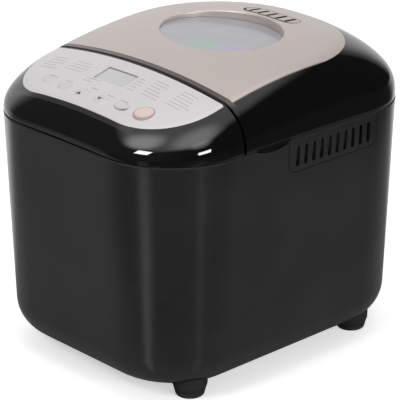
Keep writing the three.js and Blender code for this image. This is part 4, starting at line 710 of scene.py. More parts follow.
SHAFT_BORE = 5.05
BEARING_PROFILE = (
    (5.06, 41), (11, 41), (11, 58.3), (26, 58.3), (26, 61.7), (12.4, 61.7), (11, 63), (11, 75.4),
    (5.06, 75.4),
)
bearing = turned("bearing", BEARING_PROFILE, 0, CHAMBER_Y, "joined", 72)
smoothed(bearing, bevel=0.3)
fitted(bearing, "bearing_body", "housing", "cast_aluminium", cast, "bearing_housing")


def spindle(name, node, y, body, slot, finish):
    """A plain turned shaft with its two ends chamfered."""
    low, high = corners_of(node)
    r, chamfer = (high.x - low.x) / 2, 0.6
    ends = (r - chamfer, low.z), (r, low.z + chamfer), (r, high.z - chamfer), (r - chamfer, high.z)
    fitted(smoothed(turned(name, ends, 0, y, sides=48), 30), name, body, slot, finish, node)


spindle("drive_spindle", "drive_shaft", CHAMBER_Y, "drive", "zinc_steel", ground)
spindle("motor_spindle", "motor_shaft", MOTOR_Y, "motor_rotor", "zinc_steel", ground)

PULLEY_PROFILE = (
    (SHAFT_BORE, 25), (10.05, 25), (10.05, 28.5), (40, 28.5), (40, 25), (45, 25),
    (45, 35), (40, 35), (40, 31.5), (10.05, 31.5), (10.05, 35), (SHAFT_BORE, 35),
)
big_pulley = turned("big_pulley", PULLEY_PROFILE, 0, CHAMBER_Y, "joined", 96)
drilled(big_pulley, CHAMBER_Y, 25, 6, 6.5, 20, 40)
smoothed(big_pulley, bevel=0.4)
fitted(big_pulley, "driven_pulley", "drive", "inner_plastic", moulded_black, "drive_pulley")
SMALL_PULLEY_PROFILE = (4.05, 25), (8.5, 25), (8.5, 35), (4.05, 35)
small_pulley = turned("small_pulley", SMALL_PULLEY_PROFILE, 0, MOTOR_Y, "joined", 48)
smoothed(small_pulley, bevel=0.4)
fitted(small_pulley, "driving_pulley", "motor_rotor", "cast_aluminium", cast, "motor_pulley")

belt_rubber = Surface("belt_rubber")
cords = belt_rubber.z.math("SINE") * 0.5 + 0.5
wear = belt_rubber.noise(1.5, 4)
belt_rubber.shade({
    "Base Color": belt_rubber.tinted(wear, screen(24, 24, 25), screen(44, 43, 42)),
    "Roughness": 0.66 + cords * 0.1,
    "Normal": belt_rubber.relief(0.05, cords),
})
BELT_THICKNESS = 1.5


def belt_loop(extra, z):
    big, small = 45.3 + extra, 8.8 + extra
    lean = math.degrees(math.asin((big - small) / (CHAMBER_Y - MOTOR_Y)))
    round_big = arc(0, CHAMBER_Y, big, -lean, 180 + lean, 80)
    return at_height([*round_big, *arc(0, MOTOR_Y, small, 180 + lean, 360 - lean, 40)], z)


low_z, high_z = (corner.z for corner in corners_of("drive_belt"))
section = (0, low_z), (BELT_THICKNESS, low_z), (BELT_THICKNESS, high_z), (0, high_z)
belt = smoothed(skinned("belt", [belt_loop(*corner) for corner in section], "joined"), bevel=0.25)
fitted(belt, "flat_belt", "housing", "foot_rubber", belt_rubber, "drive_belt")


def coupling(disc, tip, bore, turned_across):
    """A disc with two upright dogs; tip is the far end of the dogs."""
    piece = post(14, 0, CHAMBER_Y, disc, disc + 4, 64)
    z0, z1 = min(tip, disc + 1), max(tip, disc + 1)
    for side in (-1, 1):
        near, far = sorted((side * 6.5, side * 13))
        low, high = ((-4, near), (4, far)) if turned_across else ((near, -4), (far, 4))
        low, high = (low[0], CHAMBER_Y + low[1], z0), (high[0], CHAMBER_Y + high[1], z1)
        fused(piece, block(low, high, 1))
    cut(piece, post(bore, 0, CHAMBER_Y, 0, 200))
    return smoothed(piece, bevel=0.5)


disc, tip = (corner.z for corner in corners_of("drive_coupling"))
lower = coupling(disc, tip, SHAFT_BORE, False)
fitted(lower, "lower_coupling", "drive", "cast_aluminium", cast, "drive_coupling")

# The motor's shell is a drawn can. Stamped laminations show as fine rings round its waist.
can = Surface("motor_can")
rings = (can.z * 7).math("SINE") * 0.5 + 0.5
waist = can.z.within(72, 108, 1.2)
laminations = rings * waist
dull = can.noise(9, 3) * 0.6 + laminations * 0.4
can.shade({
    "Base Color": can.tinted(dull, screen(128, 130, 133), screen(176, 177, 179)),
    "Metallic": 0.85,
    "Roughness": 0.34 + laminations * 0.15,
    "Normal": can.relief(0.15, laminations),
})
low_z, top = MOTOR_LOW.z, MOTOR_HIGH.z
motor = turned("motor", (
    (36, low_z), (36, low_z + 3), (33, low_z + 3), (33, top - 3), (32.2, top - 1.2), (30, top),
), 0, MOTOR_Y, sides=96)
cut(motor, post(4.06, 0, MOTOR_Y, 0, 77.3))
drilled(motor, MOTOR_Y, 22, 8, 3, top - 2, top + 5)
smoothed(motor, bevel=0.4)
fitted(motor, "motor_case", "housing", "zinc_steel", can, "drive_motor")

# ---- oven
# The oven is a deep-drawn steel box with a turned-out rim, closed by the lid. A sheathed element
# bent round its floor heats it, on two clips, and a sensor reaches in through its front wall.

oven_steel = Surface("oven_steel")
oven_crystal = oven_steel.facets(8)
drawing = oven_steel.noise(1.2, 4, (1, 1, 0.06))
heat = oven_steel.z.within(70, 98, 10) * (oven_steel.noise(24, 3) * 0.6 + 0.3)
bright = oven_steel.tinted(
    oven_crystal * 0.4 + drawing * 0.5, screen(166, 167, 169), screen(202, 202, 202)
)
oven_steel.shade({
    "Base Color": oven_steel.tinted(heat, bright, screen(168, 140, 104)),
    "Metallic": 0.85,
    "Roughness": 0.3 + oven_crystal * 0.12 + heat * 0.1,
    "Normal": oven_steel.relief(0.01, drawing),
})


def tub_rings(half_x, half_y, corner, low, high, foot_round, narrowing=lambda z: 0):
    """Rings up the wall of a drawn tub, from its rounded foot to its top."""
    turns = [math.radians(90 * k / 8) for k in range(9)]
    foot = [(low + foot_round * (1 - math.cos(t)), foot_round * (1 - math.sin(t))) for t in turns]
    rings = []
    for z, tuck in (*foot, (high, 0)):
        inward = narrowing(z) + tuck
        front, rear = CHAMBER_Y - half_y + inward, CHAMBER_Y + half_y - inward
        plan = rounded_outline(half_x - inward, front, rear, corner - inward, corner - inward)
        rings.append(at_height(plan, z))
    return rings


RIM_FLANGE, SHEET = 6, 1.5
chamber_x = CHAMBER_HIGH.x - RIM_FLANGE - SHEET
chamber_y = CHAMBER_HIGH.y - RIM_FLANGE - SHEET - CHAMBER_Y
foot, top = CHAMBER_LOW.z, CHAMBER_HIGH.z
chamber = skinned("chamber", tub_rings(chamber_x + SHEET, chamber_y + SHEET, 27.5, foot, top, 7))
fused(chamber, slab(chamber_x + 7.5, chamber_y + 7.5, 33.5, top - SHEET, top, CHAMBER_Y))
cut(chamber, skinned("inside", tub_rings(chamber_x, chamber_y, 26, foot + SHEET, top + 9, 5.5)))
cut(chamber, post(BEARING_HOLE, 0, CHAMBER_Y, 0, 90))
front = CHAMBER_Y - chamber_y
for x, z, radius in ((-18, 82, 3.5), (18, 82, 3.5), (50, 120, 3.3)):
    cut(chamber, rod(radius, (x, front - 20, z), (x, front + 20, z)))
smoothed(chamber, bevel=0.25)
fitted(chamber, "oven_tub", "housing", "zinc_steel", oven_steel, "oven_chamber")


def bent(name, path, radius, normal, sides=20):
    """A wire of round section along a flat path; normal is square to the path's plane."""
    points, normal = [Vector(p) for p in path], Vector(normal).normalized()
    rings = []
    for k, point in enumerate(points):
        ahead = (points[min(k + 1, len(points) - 1)] - points[max(k - 1, 0)]).normalized()
        across = ahead.cross(normal)
        section = oval(0, 0, radius, radius, sides)
        rings.append([tuple(point + a * across + b * normal) for a, b in section])
    return skinned(name, rings)


sheath = Surface("element_sheath")
bloom = sheath.noise(7, 4)
sheath.shade({
    "Base Color": sheath.tinted(bloom, screen(96, 90, 84), screen(142, 136, 128)),
    "Metallic": 0.8,
    "Roughness": 0.36 + bloom * 0.16,
    "Normal": sheath.relief(0.01, sheath.noise(0.7, 3)),
})
ELEMENT_X, ELEMENT_Z, ELEMENT_RADIUS, TERMINAL_RADIUS = 18, 82, 3.2, 1.6
x_run, y_run, corner, bend = chamber_x - 10, chamber_y - 11, 24, 8
near, far = CHAMBER_Y - y_run, CHAMBER_Y + y_run
half = [
    (ELEMENT_X, front - 9), (ELEMENT_X, front), (ELEMENT_X, near - bend),
    *arc(ELEMENT_X + bend, near - bend, bend, 180, 90, 8),
    *arc(x_run - corner, near + corner, corner, -90, 0, 14),
    *arc(x_run - corner, far - corner, corner, 0, 90, 14),
]
whole = (*half, *((-x, y) for x, y in reversed(half)))
element = bent("element", at_height(whole, ELEMENT_Z), ELEMENT_RADIUS, (0, 0, 1))
for x in (-ELEMENT_X, ELEMENT_X):
    fused(element, rod(TERMINAL_RADIUS, (x, front - 11.5, ELEMENT_Z), (x, front - 5, ELEMENT_Z)))
smoothed(element, 40)
fitted(element, "element_loop", "housing", "element_sheath", sheath, "heating_element")

for word, side in SIDES:
    low, high = corners_of(f"element_clip_{word}")
    clip = block(low, (high.x, high.y, low.z + SHEET))
    x0, x1 = (high.x - SHEET, high.x) if side > 0 else (low.x, low.x + SHEET)
    fused(clip, block((x0, low.y, low.z), (x1, high.y, high.z), 2.5, "x"))
    fused(clip, block((x0, low.y, low.z), (x1, high.y, low.z + 8)))
    smoothed(clip, bevel=0.3)
    fitted(clip, f"clip_{word}", "housing", "zinc_steel", zinc, f"element_clip_{word}")

low, high = corners_of("temperature_sensor")
x, _, z = middle_of("temperature_sensor")
sensor = smoothed(rod(3, (x, low.y, z), (x, high.y, z), 40), bevel=1.2, steps=4)
fused(sensor, rod(6, (x, front - 4.8, z), (x, front - 1.8, z), 6))
smoothed(sensor, bevel=0.2)
fitted(sensor, "sensor_probe", "housing", "element_sheath", sheath, "temperature_sensor")

SEAT_PROFILE = (
    (14, 63.8), (40, 63.8), (40, 75), (39, 76), (37.2, 76), (36.7, 75.4), (36.7, 71), (35.7, 70),
    (14, 70),
)
seat = turned("seat", SEAT_PROFILE, 0, CHAMBER_Y, "joined", 96)
drilled(seat, CHAMBER_Y, 27, 3, 2.6, 69, 80, first=30)
smoothed(seat, bevel=0.3)
fitted(seat, "seat_ring", "housing", "cast_aluminium", cast, "pan_seat")

# ---- deck
# A moulded ring covers the gap between the oven's rim and the housing. Two lugs at its back
# carry the lid's hinge pins.

DECK_LOW = corners_of("top_deck")[0]
DECK_TOP = SEAM_Z - 3
HINGE_X, HINGE_Y, HINGE_Z = middle_of("hinge_pin_right")
HINGE_RADIUS, LUG_WIDTH, EAR_WIDTH = 4, 20, 6


def hinge_rod(radius, x0, x1, sides=48):
    return axle(radius, x0, x1, HINGE_Y, HINGE_Z, sides)


def deck_opening(grow, low=0, high=FAR):
    return slab(98 + grow, 86 + grow, 26 + grow, low, high, CHAMBER_Y)


edge = housing_ring(DECK_TOP, WALL + GAP + WALL_LEAN * (DECK_TOP - CHAMBER_HIGH.z))
deck = column(edge, DECK_LOW.z, DECK_TOP)
cut(deck, block((-FAR, -FAR, 0), (FAR, DECK_LOW.y, FAR)), deck_opening(0))
for side in (-1, 1):
    x = side * HINGE_X
    x0, x1 = x - LUG_WIDTH / 2, x + LUG_WIDTH / 2
    lug = block((x0, HINGE_Y - HINGE_RADIUS, DECK_TOP - 1), (x1, HINGE_Y + 0.79, HINGE_Z))
    fused(deck, lug, hinge_rod(HINGE_RADIUS, x0, x1))
    cut(deck, hinge_rod(1.65, x - 20, x + 20))
smoothed(deck, bevel=0.4)
fitted(deck, "deck_ring", "housing", "inner_plastic", moulded_black, "top_deck")

# ---- bread pan
# The pan is deep-drawn aluminium with a dark non-stick coating and a rolled rim. A base ring
# under it drops into the seat, and two riveted ears hold the wire bail.

nonstick = Surface("nonstick_coating")
flecks = (0.22 - nonstick.cells(1.1)).ramp(0, 0.06) * nonstick.noise(5, 2).ramp(0.5, 0.62)
orange_peel = nonstick.noise(1.8, 2)
coating = nonstick.tinted(nonstick.noise(40), screen(48, 48, 50), screen(60, 60, 61))
nonstick.shade({
    "Base Color": nonstick.tinted(flecks * 0.7, coating, screen(120, 120, 120)),
    "Metallic": 0.25,
    "Roughness": 0.34 + orange_peel * 0.12,
    "Normal": nonstick.relief(0.03, orange_peel),
})
PAN_LOW, PAN_HIGH = corners_of("bread_pan")
PIVOT_Z = PAN_HIGH.z - 7
PAN_X, PAN_Y, PAN_CORNER, PAN_TAPER, PAN_RIM = 80, 63, 22, 5, 2.5
EAR_X, EAR_HALF = 84, 7


def pan_form(inset, low, high, foot_round):
    def narrowing(z):
        return PAN_TAPER * (PAN_HIGH.z - z) / (PAN_HIGH.z - PAN_LOW.z) + inset

    rings = tub_rings(PAN_X, PAN_Y, PAN_CORNER, low, high, foot_round, narrowing)
    return skinned("pan_form", rings)


vessel = pan_form(0, PAN_LOW.z, PAN_HIGH.z - 0.8, 8)
lip = PAN_X + PAN_RIM, PAN_Y + PAN_RIM, PAN_CORNER + PAN_RIM
rolled = slab(*lip, PAN_HIGH.z - 1.9, PAN_HIGH.z, CHAMBER_Y)
fused(vessel, smoothed(rolled, bevel=0.8, steps=4))
ear_front, ear_rear = CHAMBER_Y - EAR_HALF, CHAMBER_Y + EAR_HALF
for side in (-1, 1):
    x0, x1 = sorted((side * EAR_X, side * (EAR_X + SHEET)))
    root = sorted((side * (PAN_X - 1), side * (EAR_X + SHEET)))
    fused(vessel, block((x0, ear_front, PIVOT_Z), (x1, ear_rear, PAN_HIGH.z)))
    fused(vessel, axle(EAR_HALF, x0, x1, CHAMBER_Y, PIVOT_Z, 64))
    low, high = (root[0], ear_front, PAN_HIGH.z - SHEET), (root[1], ear_rear, PAN_HIGH.z)
    fused(vessel, block(low, high))
    cut(vessel, axle(2.3, x0 - 1, x1 + 1, CHAMBER_Y, PIVOT_Z, 32))
cut(vessel, pan_form(SHEET, PAN_LOW.z + 2, PAN_HIGH.z + 3, 6.5))
cut(vessel, post(4.06, 0, CHAMBER_Y, 0, FAR))
smoothed(vessel, bevel=0.2)
fitted(vessel, "pan_vessel", "pan", "nonstick", nonstick, "bread_pan")

RING_PROFILE = (32.4, 70.3), (36.4, 70.3), (36.4, 91.7), (32.4, 91.7)
ring = turned("base_ring", RING_PROFILE, 0, CHAMBER_Y, "joined", 96)
for x, y in arc(0, CHAMBER_Y, 68, 45, 315, 3):
    cut(ring, rod(5, (0, CHAMBER_Y, 81), (x, y, 81)))
smoothed(ring, bevel=0.4)
fitted(ring, "pan_foot_ring", "pan", "cast_aluminium", cast, "pan_base_ring")

drawn_wire = Surface("drawn_wire")
die_lines = drawn_wire.noise(0.4, 3, (0.3, 1, 1))
drawn_wire.shade({
    "Base Color": drawn_wire.tinted(die_lines, screen(176, 175, 173), screen(206, 205, 203)),
    "Metallic": 0.95,
    "Roughness": 0.2 + die_lines * 0.12,
    "Normal": drawn_wire.relief(0.005, die_lines),
})
BAIL_REACH, BAIL_X, BAIL_FALL, BAIL_BEND, BAIL_RADIUS = 72, 91, 0.436, 10, 2
arm = [
    (83, 0), (85, 0), *arc(BAIL_X - 3, 3, 3, -90, 0, 6),
    *arc(BAIL_X - BAIL_BEND, BAIL_REACH - BAIL_BEND, BAIL_BEND, 0, 90, 10),
]
flat = (*arm, *((-x, reach) for x, reach in reversed(arm)))
fall = math.cos(BAIL_FALL), math.sin(BAIL_FALL)
path = [(x, CHAMBER_Y - reach * fall[0], PIVOT_Z - reach * fall[1]) for x, reach in flat]
bail = smoothed(bent("bail", path, BAIL_RADIUS, (0, fall[1], -fall[0])), 40)
fitted(bail, "wire_bail", "bail", "element_sheath", drawn_wire, "pan_handle")

# ---- paddle
# The paddle is cast with one tapering blade and coated like the pan. It sits on a shaft that
# runs through a silicone seal in the pan's floor and ends in the upper coupling.

silicone = Surface("red_silicone")
chalk = silicone.noise(3, 4)
silicone.shade({
    "Base Color": silicone.tinted(chalk, screen(146, 66, 52), screen(170, 84, 68)),
    "Roughness": 0.58 + chalk * 0.12,
    "Normal": silicone.relief(0.02, silicone.noise(0.8, 3)),
})
PADDLE_BORE, BLADE_LENGTH, BLADE_HEIGHT, BLADE_STEPS = 4.05, 46, 20, 12
spindle("paddle_spindle", "paddle_shaft", CHAMBER_Y, "paddle", "element_sheath", ground)
low_z, high_z = (corner.z for corner in corners_of("shaft_seal"))
seal = turned("seal", (
    (4.06, low_z), (9, low_z), (8.8, low_z + 0.9), (6.6, low_z + 1.8), (6.06, high_z),
    (4.06, high_z),
), 0, CHAMBER_Y, "joined", 64)
fitted(smoothed(seal, 30), "lip_seal", "pan", "silicone", silicone, "shaft_seal")
tip, top = (corner.z for corner in corners_of("pan_coupling"))
upper = coupling(top - 4, tip, PADDLE_BORE, True)
fitted(upper, "upper_coupling", "paddle", "cast_aluminium", cast, "pan_coupling")
foot = corners_of("kneading_paddle")[0].z
hub = turned("hub", (
    (7.6, foot), (8, foot + 0.5), (6.6, foot + 23.8), (6.1, foot + 25.2), (5, foot + 26),
), 0, CHAMBER_Y, sides=64)
stations = []
for share in (k / BLADE_STEPS for k in range(BLADE_STEPS + 1)):
    x, y0, y1 = BLADE_LENGTH * share, CHAMBER_Y - 2.5 + 3 * share, CHAMBER_Y + 2.5
    z0, z1 = foot + 0.3, foot + BLADE_HEIGHT - 10 * share ** 1.3
    stations.append([(x, y0, z0), (x, y1, z0), (x, y1, z1), (x, y0, z1)])
paddle = fused(hub, smoothed(skinned("blade", stations), 30, bevel=0.7, steps=3))
shaft_top = corners_of("paddle_shaft")[1].z
cut(paddle, post(PADDLE_BORE, 0, CHAMBER_Y, 0, shaft_top + 0.35))
smoothed(paddle, 34)
fitted(paddle, "paddle_casting", "paddle", "nonstick", nonstick, "kneading_paddle")

# ---- front bezel
# The bezel is the front third of the domed crown, a moulding in polished black, with a painted
# sheen along the overlay's front edge. It screws to the housing's rim, and its skirt closes the gap
# in front of the lid.

CROWN_HEIGHT, CROWN_RISE, CROWN_SAG, CROWN_CAMBER = 64.2, 14.4, 27.3, 14.3
SIDE_SHOULDER, FRONT_SHOULDER, REAR_SHOULDER = 28.6, 23.1, 47.4
CROWN_FRONT_RADIUS, CROWN_REAR_RADIUS, CROWN_RIM_ROUND = 58, 102, 0.7
SKIN = 4.5
CROWN_STEPS, TOP_STEPS = 32, 20
BEZEL_REAR_Y = corners_of("front_bezel")[1].y
LID_FRONT_Y = corners_of("lid_frame")[0].y
ABOVE = SEAM_Z + 105


def crown_top(x, y):
    u, v = x / HALF_WIDTH, y / REAR_Y
    return SEAM_Z + CROWN_HEIGHT + CROWN_RISE * v - CROWN_SAG * v * v - CROWN_CAMBER * u * u


def crown_radius(end_radius, share):
    return CORNER_RADIUS + (end_radius - CORNER_RADIUS) * share


def crown_plan(share, inset=0):
    """The crown's outline part of the way across its shoulder."""
    half_x = HALF_WIDTH - SIDE_SHOULDER * share - inset
    front = FRONT_SHOULDER * share + inset - REAR_Y
    rear = REAR_Y - REAR_SHOULDER * share - inset
    front_radius = crown_radius(CROWN_FRONT_RADIUS, share) - inset
    return rounded_outline(
        half_x, front, rear, front_radius, crown_radius(CROWN_REAR_RADIUS, share) - inset
    )


def crown_form(inset=0, drop=0, bottom=SEAM_Z + GAP, rim_round=0.0):
    """The whole crown as a solid, its walls drawn in by inset and its top lowered by drop."""
    rings = [at_height(crown_plan(0, inset + rim_round), bottom)]
    for k in range(CROWN_STEPS + 1):
        share = (k / CROWN_STEPS) ** 3
        height = (1 - (1 - share) ** 1.5) ** (1 / 3)
        plan = crown_plan(share, inset)
        ring = [(x, y, SEAM_Z + height * (crown_top(x, y) - drop - SEAM_Z)) for x, y in plan]
        if min(z for x, y, z in ring) > bottom + rim_round:
            rings.append(ring)
    middle_y = (FRONT_SHOULDER - REAR_SHOULDER) / 2
    for k in range(1, TOP_STEPS):
        part = 1 - k / TOP_STEPS
        ring = [(x * part, middle_y + (y - middle_y) * part) for x, y in crown_plan(1, inset)]
        rings.append([(x, y, crown_top(x, y) - drop) for x, y in ring])
    return skinned("crown_form", rings)


def crown_slab(points, top_drop, bottom_drop):
    """The slice of the crown inside an outline, between two depths under its surface."""
    piece = common(column(points, SEAM_Z, ABOVE), crown_form(drop=top_drop))
    return cut(piece, crown_form(drop=bottom_drop, bottom=SEAM_Z - WALL))


# Polished black plastic: nearly a mirror, with the faint waviness of a moulded skin and the
# hair-fine circular marks that wiping leaves. The lid's front strip is a little rougher and
# painted a warm grey for a reflection, and a painted sheen runs along in front of the overlay.
SHEEN_FRONT, SHEEN_REAR = -154.6, -149.2
piano_black = Surface("piano_black_plastic")
waviness = piano_black.noise(14, 1)
wiping = piano_black.noise(1.1, 5, (1, 0.12, 1)).ramp(0.5, 0.75)
dust = piano_black.noise(2.2, 6).ramp(0.66, 0.8) * piano_black.z.ramp(SEAM_Z + 15, SEAM_Z + 55)
# painted reflection: a warm grey band over the lid's front strip, which is also a little rougher
lid_front_reflection = piano_black.y.within(LID_FRONT_Y - 0.4, LID_FRONT_Y + 6, 0.2)
lid_front_reflection = lid_front_reflection * piano_black.z.ramp(SEAM_Z + 38, SEAM_Z + 44)
# painted sheen: a pale band along the bezel just in front of the overlay's edge, fading out to the
# sides
overlay_edge_sheen = piano_black.y.within(SHEEN_FRONT, SHEEN_REAR, 0.5)
overlay_edge_sheen = overlay_edge_sheen * piano_black.x.size().ramp(104, 84) * piano_black.x.ramp(82, 52)
blackness = piano_black.tinted(dust * 0.3, screen(12, 12, 13), screen(46, 45, 46))
blackness = piano_black.tinted(overlay_edge_sheen, blackness, screen(52, 50, 50))
piano_black.shade({
    "Base Color": piano_black.tinted(lid_front_reflection * 0.9, blackness, screen(94, 86, 84)),
    "Roughness": 0.045 + wiping * 0.05 + dust * 0.12 + lid_front_reflection * 0.2,
    "Specular IOR Level": 0.5,
    "Normal": piano_black.relief(0.01, waviness),
})

PANEL_TILT, PANEL_ORIGIN_Y = 0.31, -118
PANEL_ORIGIN_Z = crown_top(0, PANEL_ORIGIN_Y)
OVERLAY_SHARE, OVERLAY_THICKNESS, OVERLAY_REAR_MARGIN = 0.86, 1.2, 1.6
SHARP_CORNER = 1.4
LCD_X, LCD_Y, LCD_HALF_X, LCD_HALF_Y, LCD_RECESS = -3, -103, 20.5, 10.5, 1.4


def on_panel(x, up, out):
    """A point given in the sloping panel's own frame."""
    y = PANEL_ORIGIN_Y + up * math.cos(PANEL_TILT) - out * math.sin(PANEL_TILT)
    return x, y, PANEL_ORIGIN_Z + up * math.sin(PANEL_TILT) + out * math.cos(PANEL_TILT)


def up_slope(x, y):
    level, rise = y - PANEL_ORIGIN_Y, crown_top(x, y) - PANEL_ORIGIN_Z
    return level * math.cos(PANEL_TILT) + rise * math.sin(PANEL_TILT)


def panel_column(points, low, high):
    """A straight-sided tool that stands square on the sloping panel."""
    return skinned("panel_column", [[on_panel(x, up, z) for x, up in points] for z in (low, high)])


def lcd_outline(margin=0, radius=1.2):
    up = up_slope(LCD_X, LCD_Y)
    half_x, half_y = LCD_HALF_X + margin, LCD_HALF_Y + margin
    plan = rounded_outline(half_x, up - half_y, up + half_y, radius, radius)
    return [(x + LCD_X, y) for x, y in plan]


def lcd_hole():
    return panel_column(lcd_outline(), -SKIN - 6, 20)


def overlay_outline(margin=0):
    half_x = HALF_WIDTH - SIDE_SHOULDER * OVERLAY_SHARE - margin
    front = FRONT_SHOULDER * OVERLAY_SHARE + margin - REAR_Y
    radius = crown_radius(CROWN_FRONT_RADIUS, OVERLAY_SHARE) - margin
    tight, small = radius - 8, SHARP_CORNER
    x, y = half_x - small, BEZEL_REAR_Y - OVERLAY_REAR_MARGIN - margin - small
    return [
        *arc(half_x - radius, front + radius, radius, -90, 0), *arc(x, y, small, 0, 90, 8),
        *arc(-x, y, small, 90, 180, 8), *arc(tight - half_x, front + tight, tight, 180, 270),
    ]


KEY_WORDS = ("menu", "loaf_size", "time_down", "time_up", "crust_colour", "start_stop")
KEY_PITCH, KEY_ROW_Y, KEY_ROW_BOW = 26, -135.3, 0.0013
KEY_HALF_X, KEY_HALF_Y, START_KEY_RADIUS = 8.5, 5.5, 10
KEY_DEPTH, KEY_FLANGE, KEY_PROUD, KEY_SEAM = 11, 1.2, 0.4, 0.1
FLANGE_TOP = -KEY_DEPTH + KEY_FLANGE


def key_row_y(x):
    return KEY_ROW_Y + KEY_ROW_BOW * x * x


def key_outline(number, margin=0, share=1.0):
    x = (number - 2.5) * KEY_PITCH
    half_x, half_y = KEY_HALF_X, KEY_HALF_Y
    if KEY_WORDS[number] == "start_stop":
        half_x = half_y = START_KEY_RADIUS
    up = up_slope(x, key_row_y(x))
    return oval(x, up, (half_x + margin) * share, (half_y + margin) * share, 72)


def key_holes(piece):
    for number in range(len(KEY_WORDS)):
        cut(piece, panel_column(key_outline(number, KEY_SEAM), FLANGE_TOP + GAP, 20))
    return piece


def cut_back(piece):
    """Draws the front wall in towards the seam, most in the middle of its width."""
    for vertex in piece.data.vertices:
        x, y, z = vertex.co / MM
        rise = 6.5 * max(0, 1 - (x / 104) ** 2)
        if y < -HALF_WIDTH and rise > 0 and z < SEAM_Z + rise:
            vertex.co.y += MM * 0.3 * (SEAM_Z + rise - z)
    return piece


def behind(y):
    """All the space behind a plane across the machine."""
    return block((-FAR, y, 0), (FAR, FAR, ABOVE))


bezel = cut_back(crown_form(rim_round=CROWN_RIM_ROUND))
cut(bezel, behind(BEZEL_REAR_Y))
hollow = crown_form(inset=WALL + 2.2, drop=SKIN, bottom=SEAM_Z - WALL)
cut(bezel, cut(hollow, behind(BEZEL_REAR_Y - WALL)))
cut(bezel, crown_slab(overlay_outline(-0.15), -2, OVERLAY_THICKNESS + 0.05))
cut(key_holes(bezel), lcd_hole())
smoothed(bezel, 28)
fitted(bezel, "bezel_shell", "housing", "gloss_black", piano_black, "front_bezel")

# ---- control overlay
# A thin silver sheet lies in a pocket of the bezel, with the programme lists and key signs
# printed on it. The lists are plain short rules here, in the places of the real ones.

# the second colour is both the printed ink of the arrow signs and the painted shade of the crust
# key's crescent
INK, SIGN_INK_AND_SHADE = screen(132, 128, 134), screen(58, 54, 58)
RULE_THICKNESS, RULE_PITCH = 0.75, 4.3
# each list: its left end, its lowest rule, its width, its number of rules, how far each is indented
LISTS = (
    (-98, -113.5, 25, 5, 0.0), (-67, -110, 29, 4, 1.5), (-30, -119.2, 20, 2, 1.0),
    (21, -111.5, 11, 5, -0.2), (40, -110.5, 21, 6, -0.6), (70, -108.5, 27, 6, 0.2),
)
# the rule above each key: its left end, its height on the sheet, its width
KEY_RULES = (-70, -124.5, 12), (-45, -126.5, 10), (-10, -126, 9), (14, -127.5, 8), (31, -127, 10)

silver = Surface("printed_silver_sheet")


def printed_list(left, lowest, width, rows, indent):
    """Where one list's rules are printed, broken into words and ending unevenly."""
    row = ((silver.y - lowest) / RULE_PITCH + 0.5).math("FLOOR")
    off_line = (silver.y - lowest - row * RULE_PITCH).size()
    place = {"W": silver.x * 0.42 + row * 7.3}
    words = silver.node("ShaderNodeTexNoise", place, noise_dimensions="1D").ramp(0.36, 0.42)
    end = silver.node("ShaderNodeTexWhiteNoise", {"W": row + left}, noise_dimensions="1D")
    start = left + row * indent
    along = (silver.x - start).ramp(-0.2, 0.2)
    along = along * (start + width - end * width * 0.4 - silver.x).ramp(-0.2, 0.2)
    stripe = (RULE_THICKNESS / 2 - off_line).ramp(-0.12, 0.12) * words * along
    return stripe * (row + 0.5).ramp(-0.01, 0.01) * (rows - 0.5 - row).ramp(-0.01, 0.01)


def drawn_line(x0, y0, x1, y1, thickness):
    """A printed stroke between two points of the plan."""
    length = math.hypot(x1 - x0, y1 - y0)
    cos, sin = (x1 - x0) / length, (y1 - y0) / length
    along = (silver.x - x0) * cos + (silver.y - y0) * sin
    across = (silver.y - y0) * cos - (silver.x - x0) * sin
    inside = (thickness / 2 - across.size()).ramp(-0.1, 0.1)
    return inside * along.ramp(-0.1, 0.1) * (length - along).ramp(-0.1, 0.1)


flake = silver.facets(0.35)
sheen = flake * 0.5 + silver.noise(40, 2) * 0.3
print_mask, *others = (
    *(printed_list(*entry) for entry in LISTS),
    *(drawn_line(x, y, x + width, y + 0.3, 0.8) for x, y, width in KEY_RULES),
)
for other in others:
    print_mask = print_mask.math("MAXIMUM", other)
sheet_silver = silver.tinted(sheen, screen(213, 209, 211), screen(226, 222, 224))
silver.shade({
    "Base Color": silver.tinted(print_mask * 0.75, sheet_silver, INK),
    "Roughness": 0.36 + flake * 0.08,
    "Metallic": 0.12 * (1 - print_mask),
    "Normal": silver.relief(0.004, silver.noise(0.8, 2)),
})

overlay = crown_slab(overlay_outline(), 0, OVERLAY_THICKNESS)
cut(key_holes(overlay), lcd_hole())
smoothed(overlay, 28, bevel=0.12, steps=1)
fitted(overlay, "overlay_sheet", "housing", "panel_grey", silver, "control_overlay")

# ---- keys
# Six soft keys show through the sheet, moulded in the same silver: five small ovals and a round
# start key with a red rim. Each cap is a low dome on a stem with a flange under the bezel.


def key_surface(name, fill, ring=None, centre=(0, 0)):
    """The sheet's silver with a tint, and for the start key a printed ring and a soft crescent of
    painted shade.
    """
    look = Surface(name)
    fleck = look.facets(0.35)
    lighter = (*(c * 1.08 for c in fill[:3]), 1)
    colour = look.tinted(fleck * 0.5 + look.noise(6) * 0.4, fill, lighter)
    if ring:
        x, y = look.x - centre[0], (look.y - centre[1]) / math.cos(PANEL_TILT)
        reach = (x * x + y * y).root()
        # painted shade: a soft crescent inside the start key's rim, along the lower edge of its
        # dome
        back = ((x + 2.2) ** 2 + (y - 3.2) ** 2).root()
        crescent = back.ramp(8.8, 10.8) * (9.4 - reach).ramp(-0.2, 0.3)
        colour = look.tinted(crescent * 0.85, colour, screen(158, 140, 138))
        colour = look.tinted(reach.ramp(9.3, 9.5), colour, ring)
    return look, colour


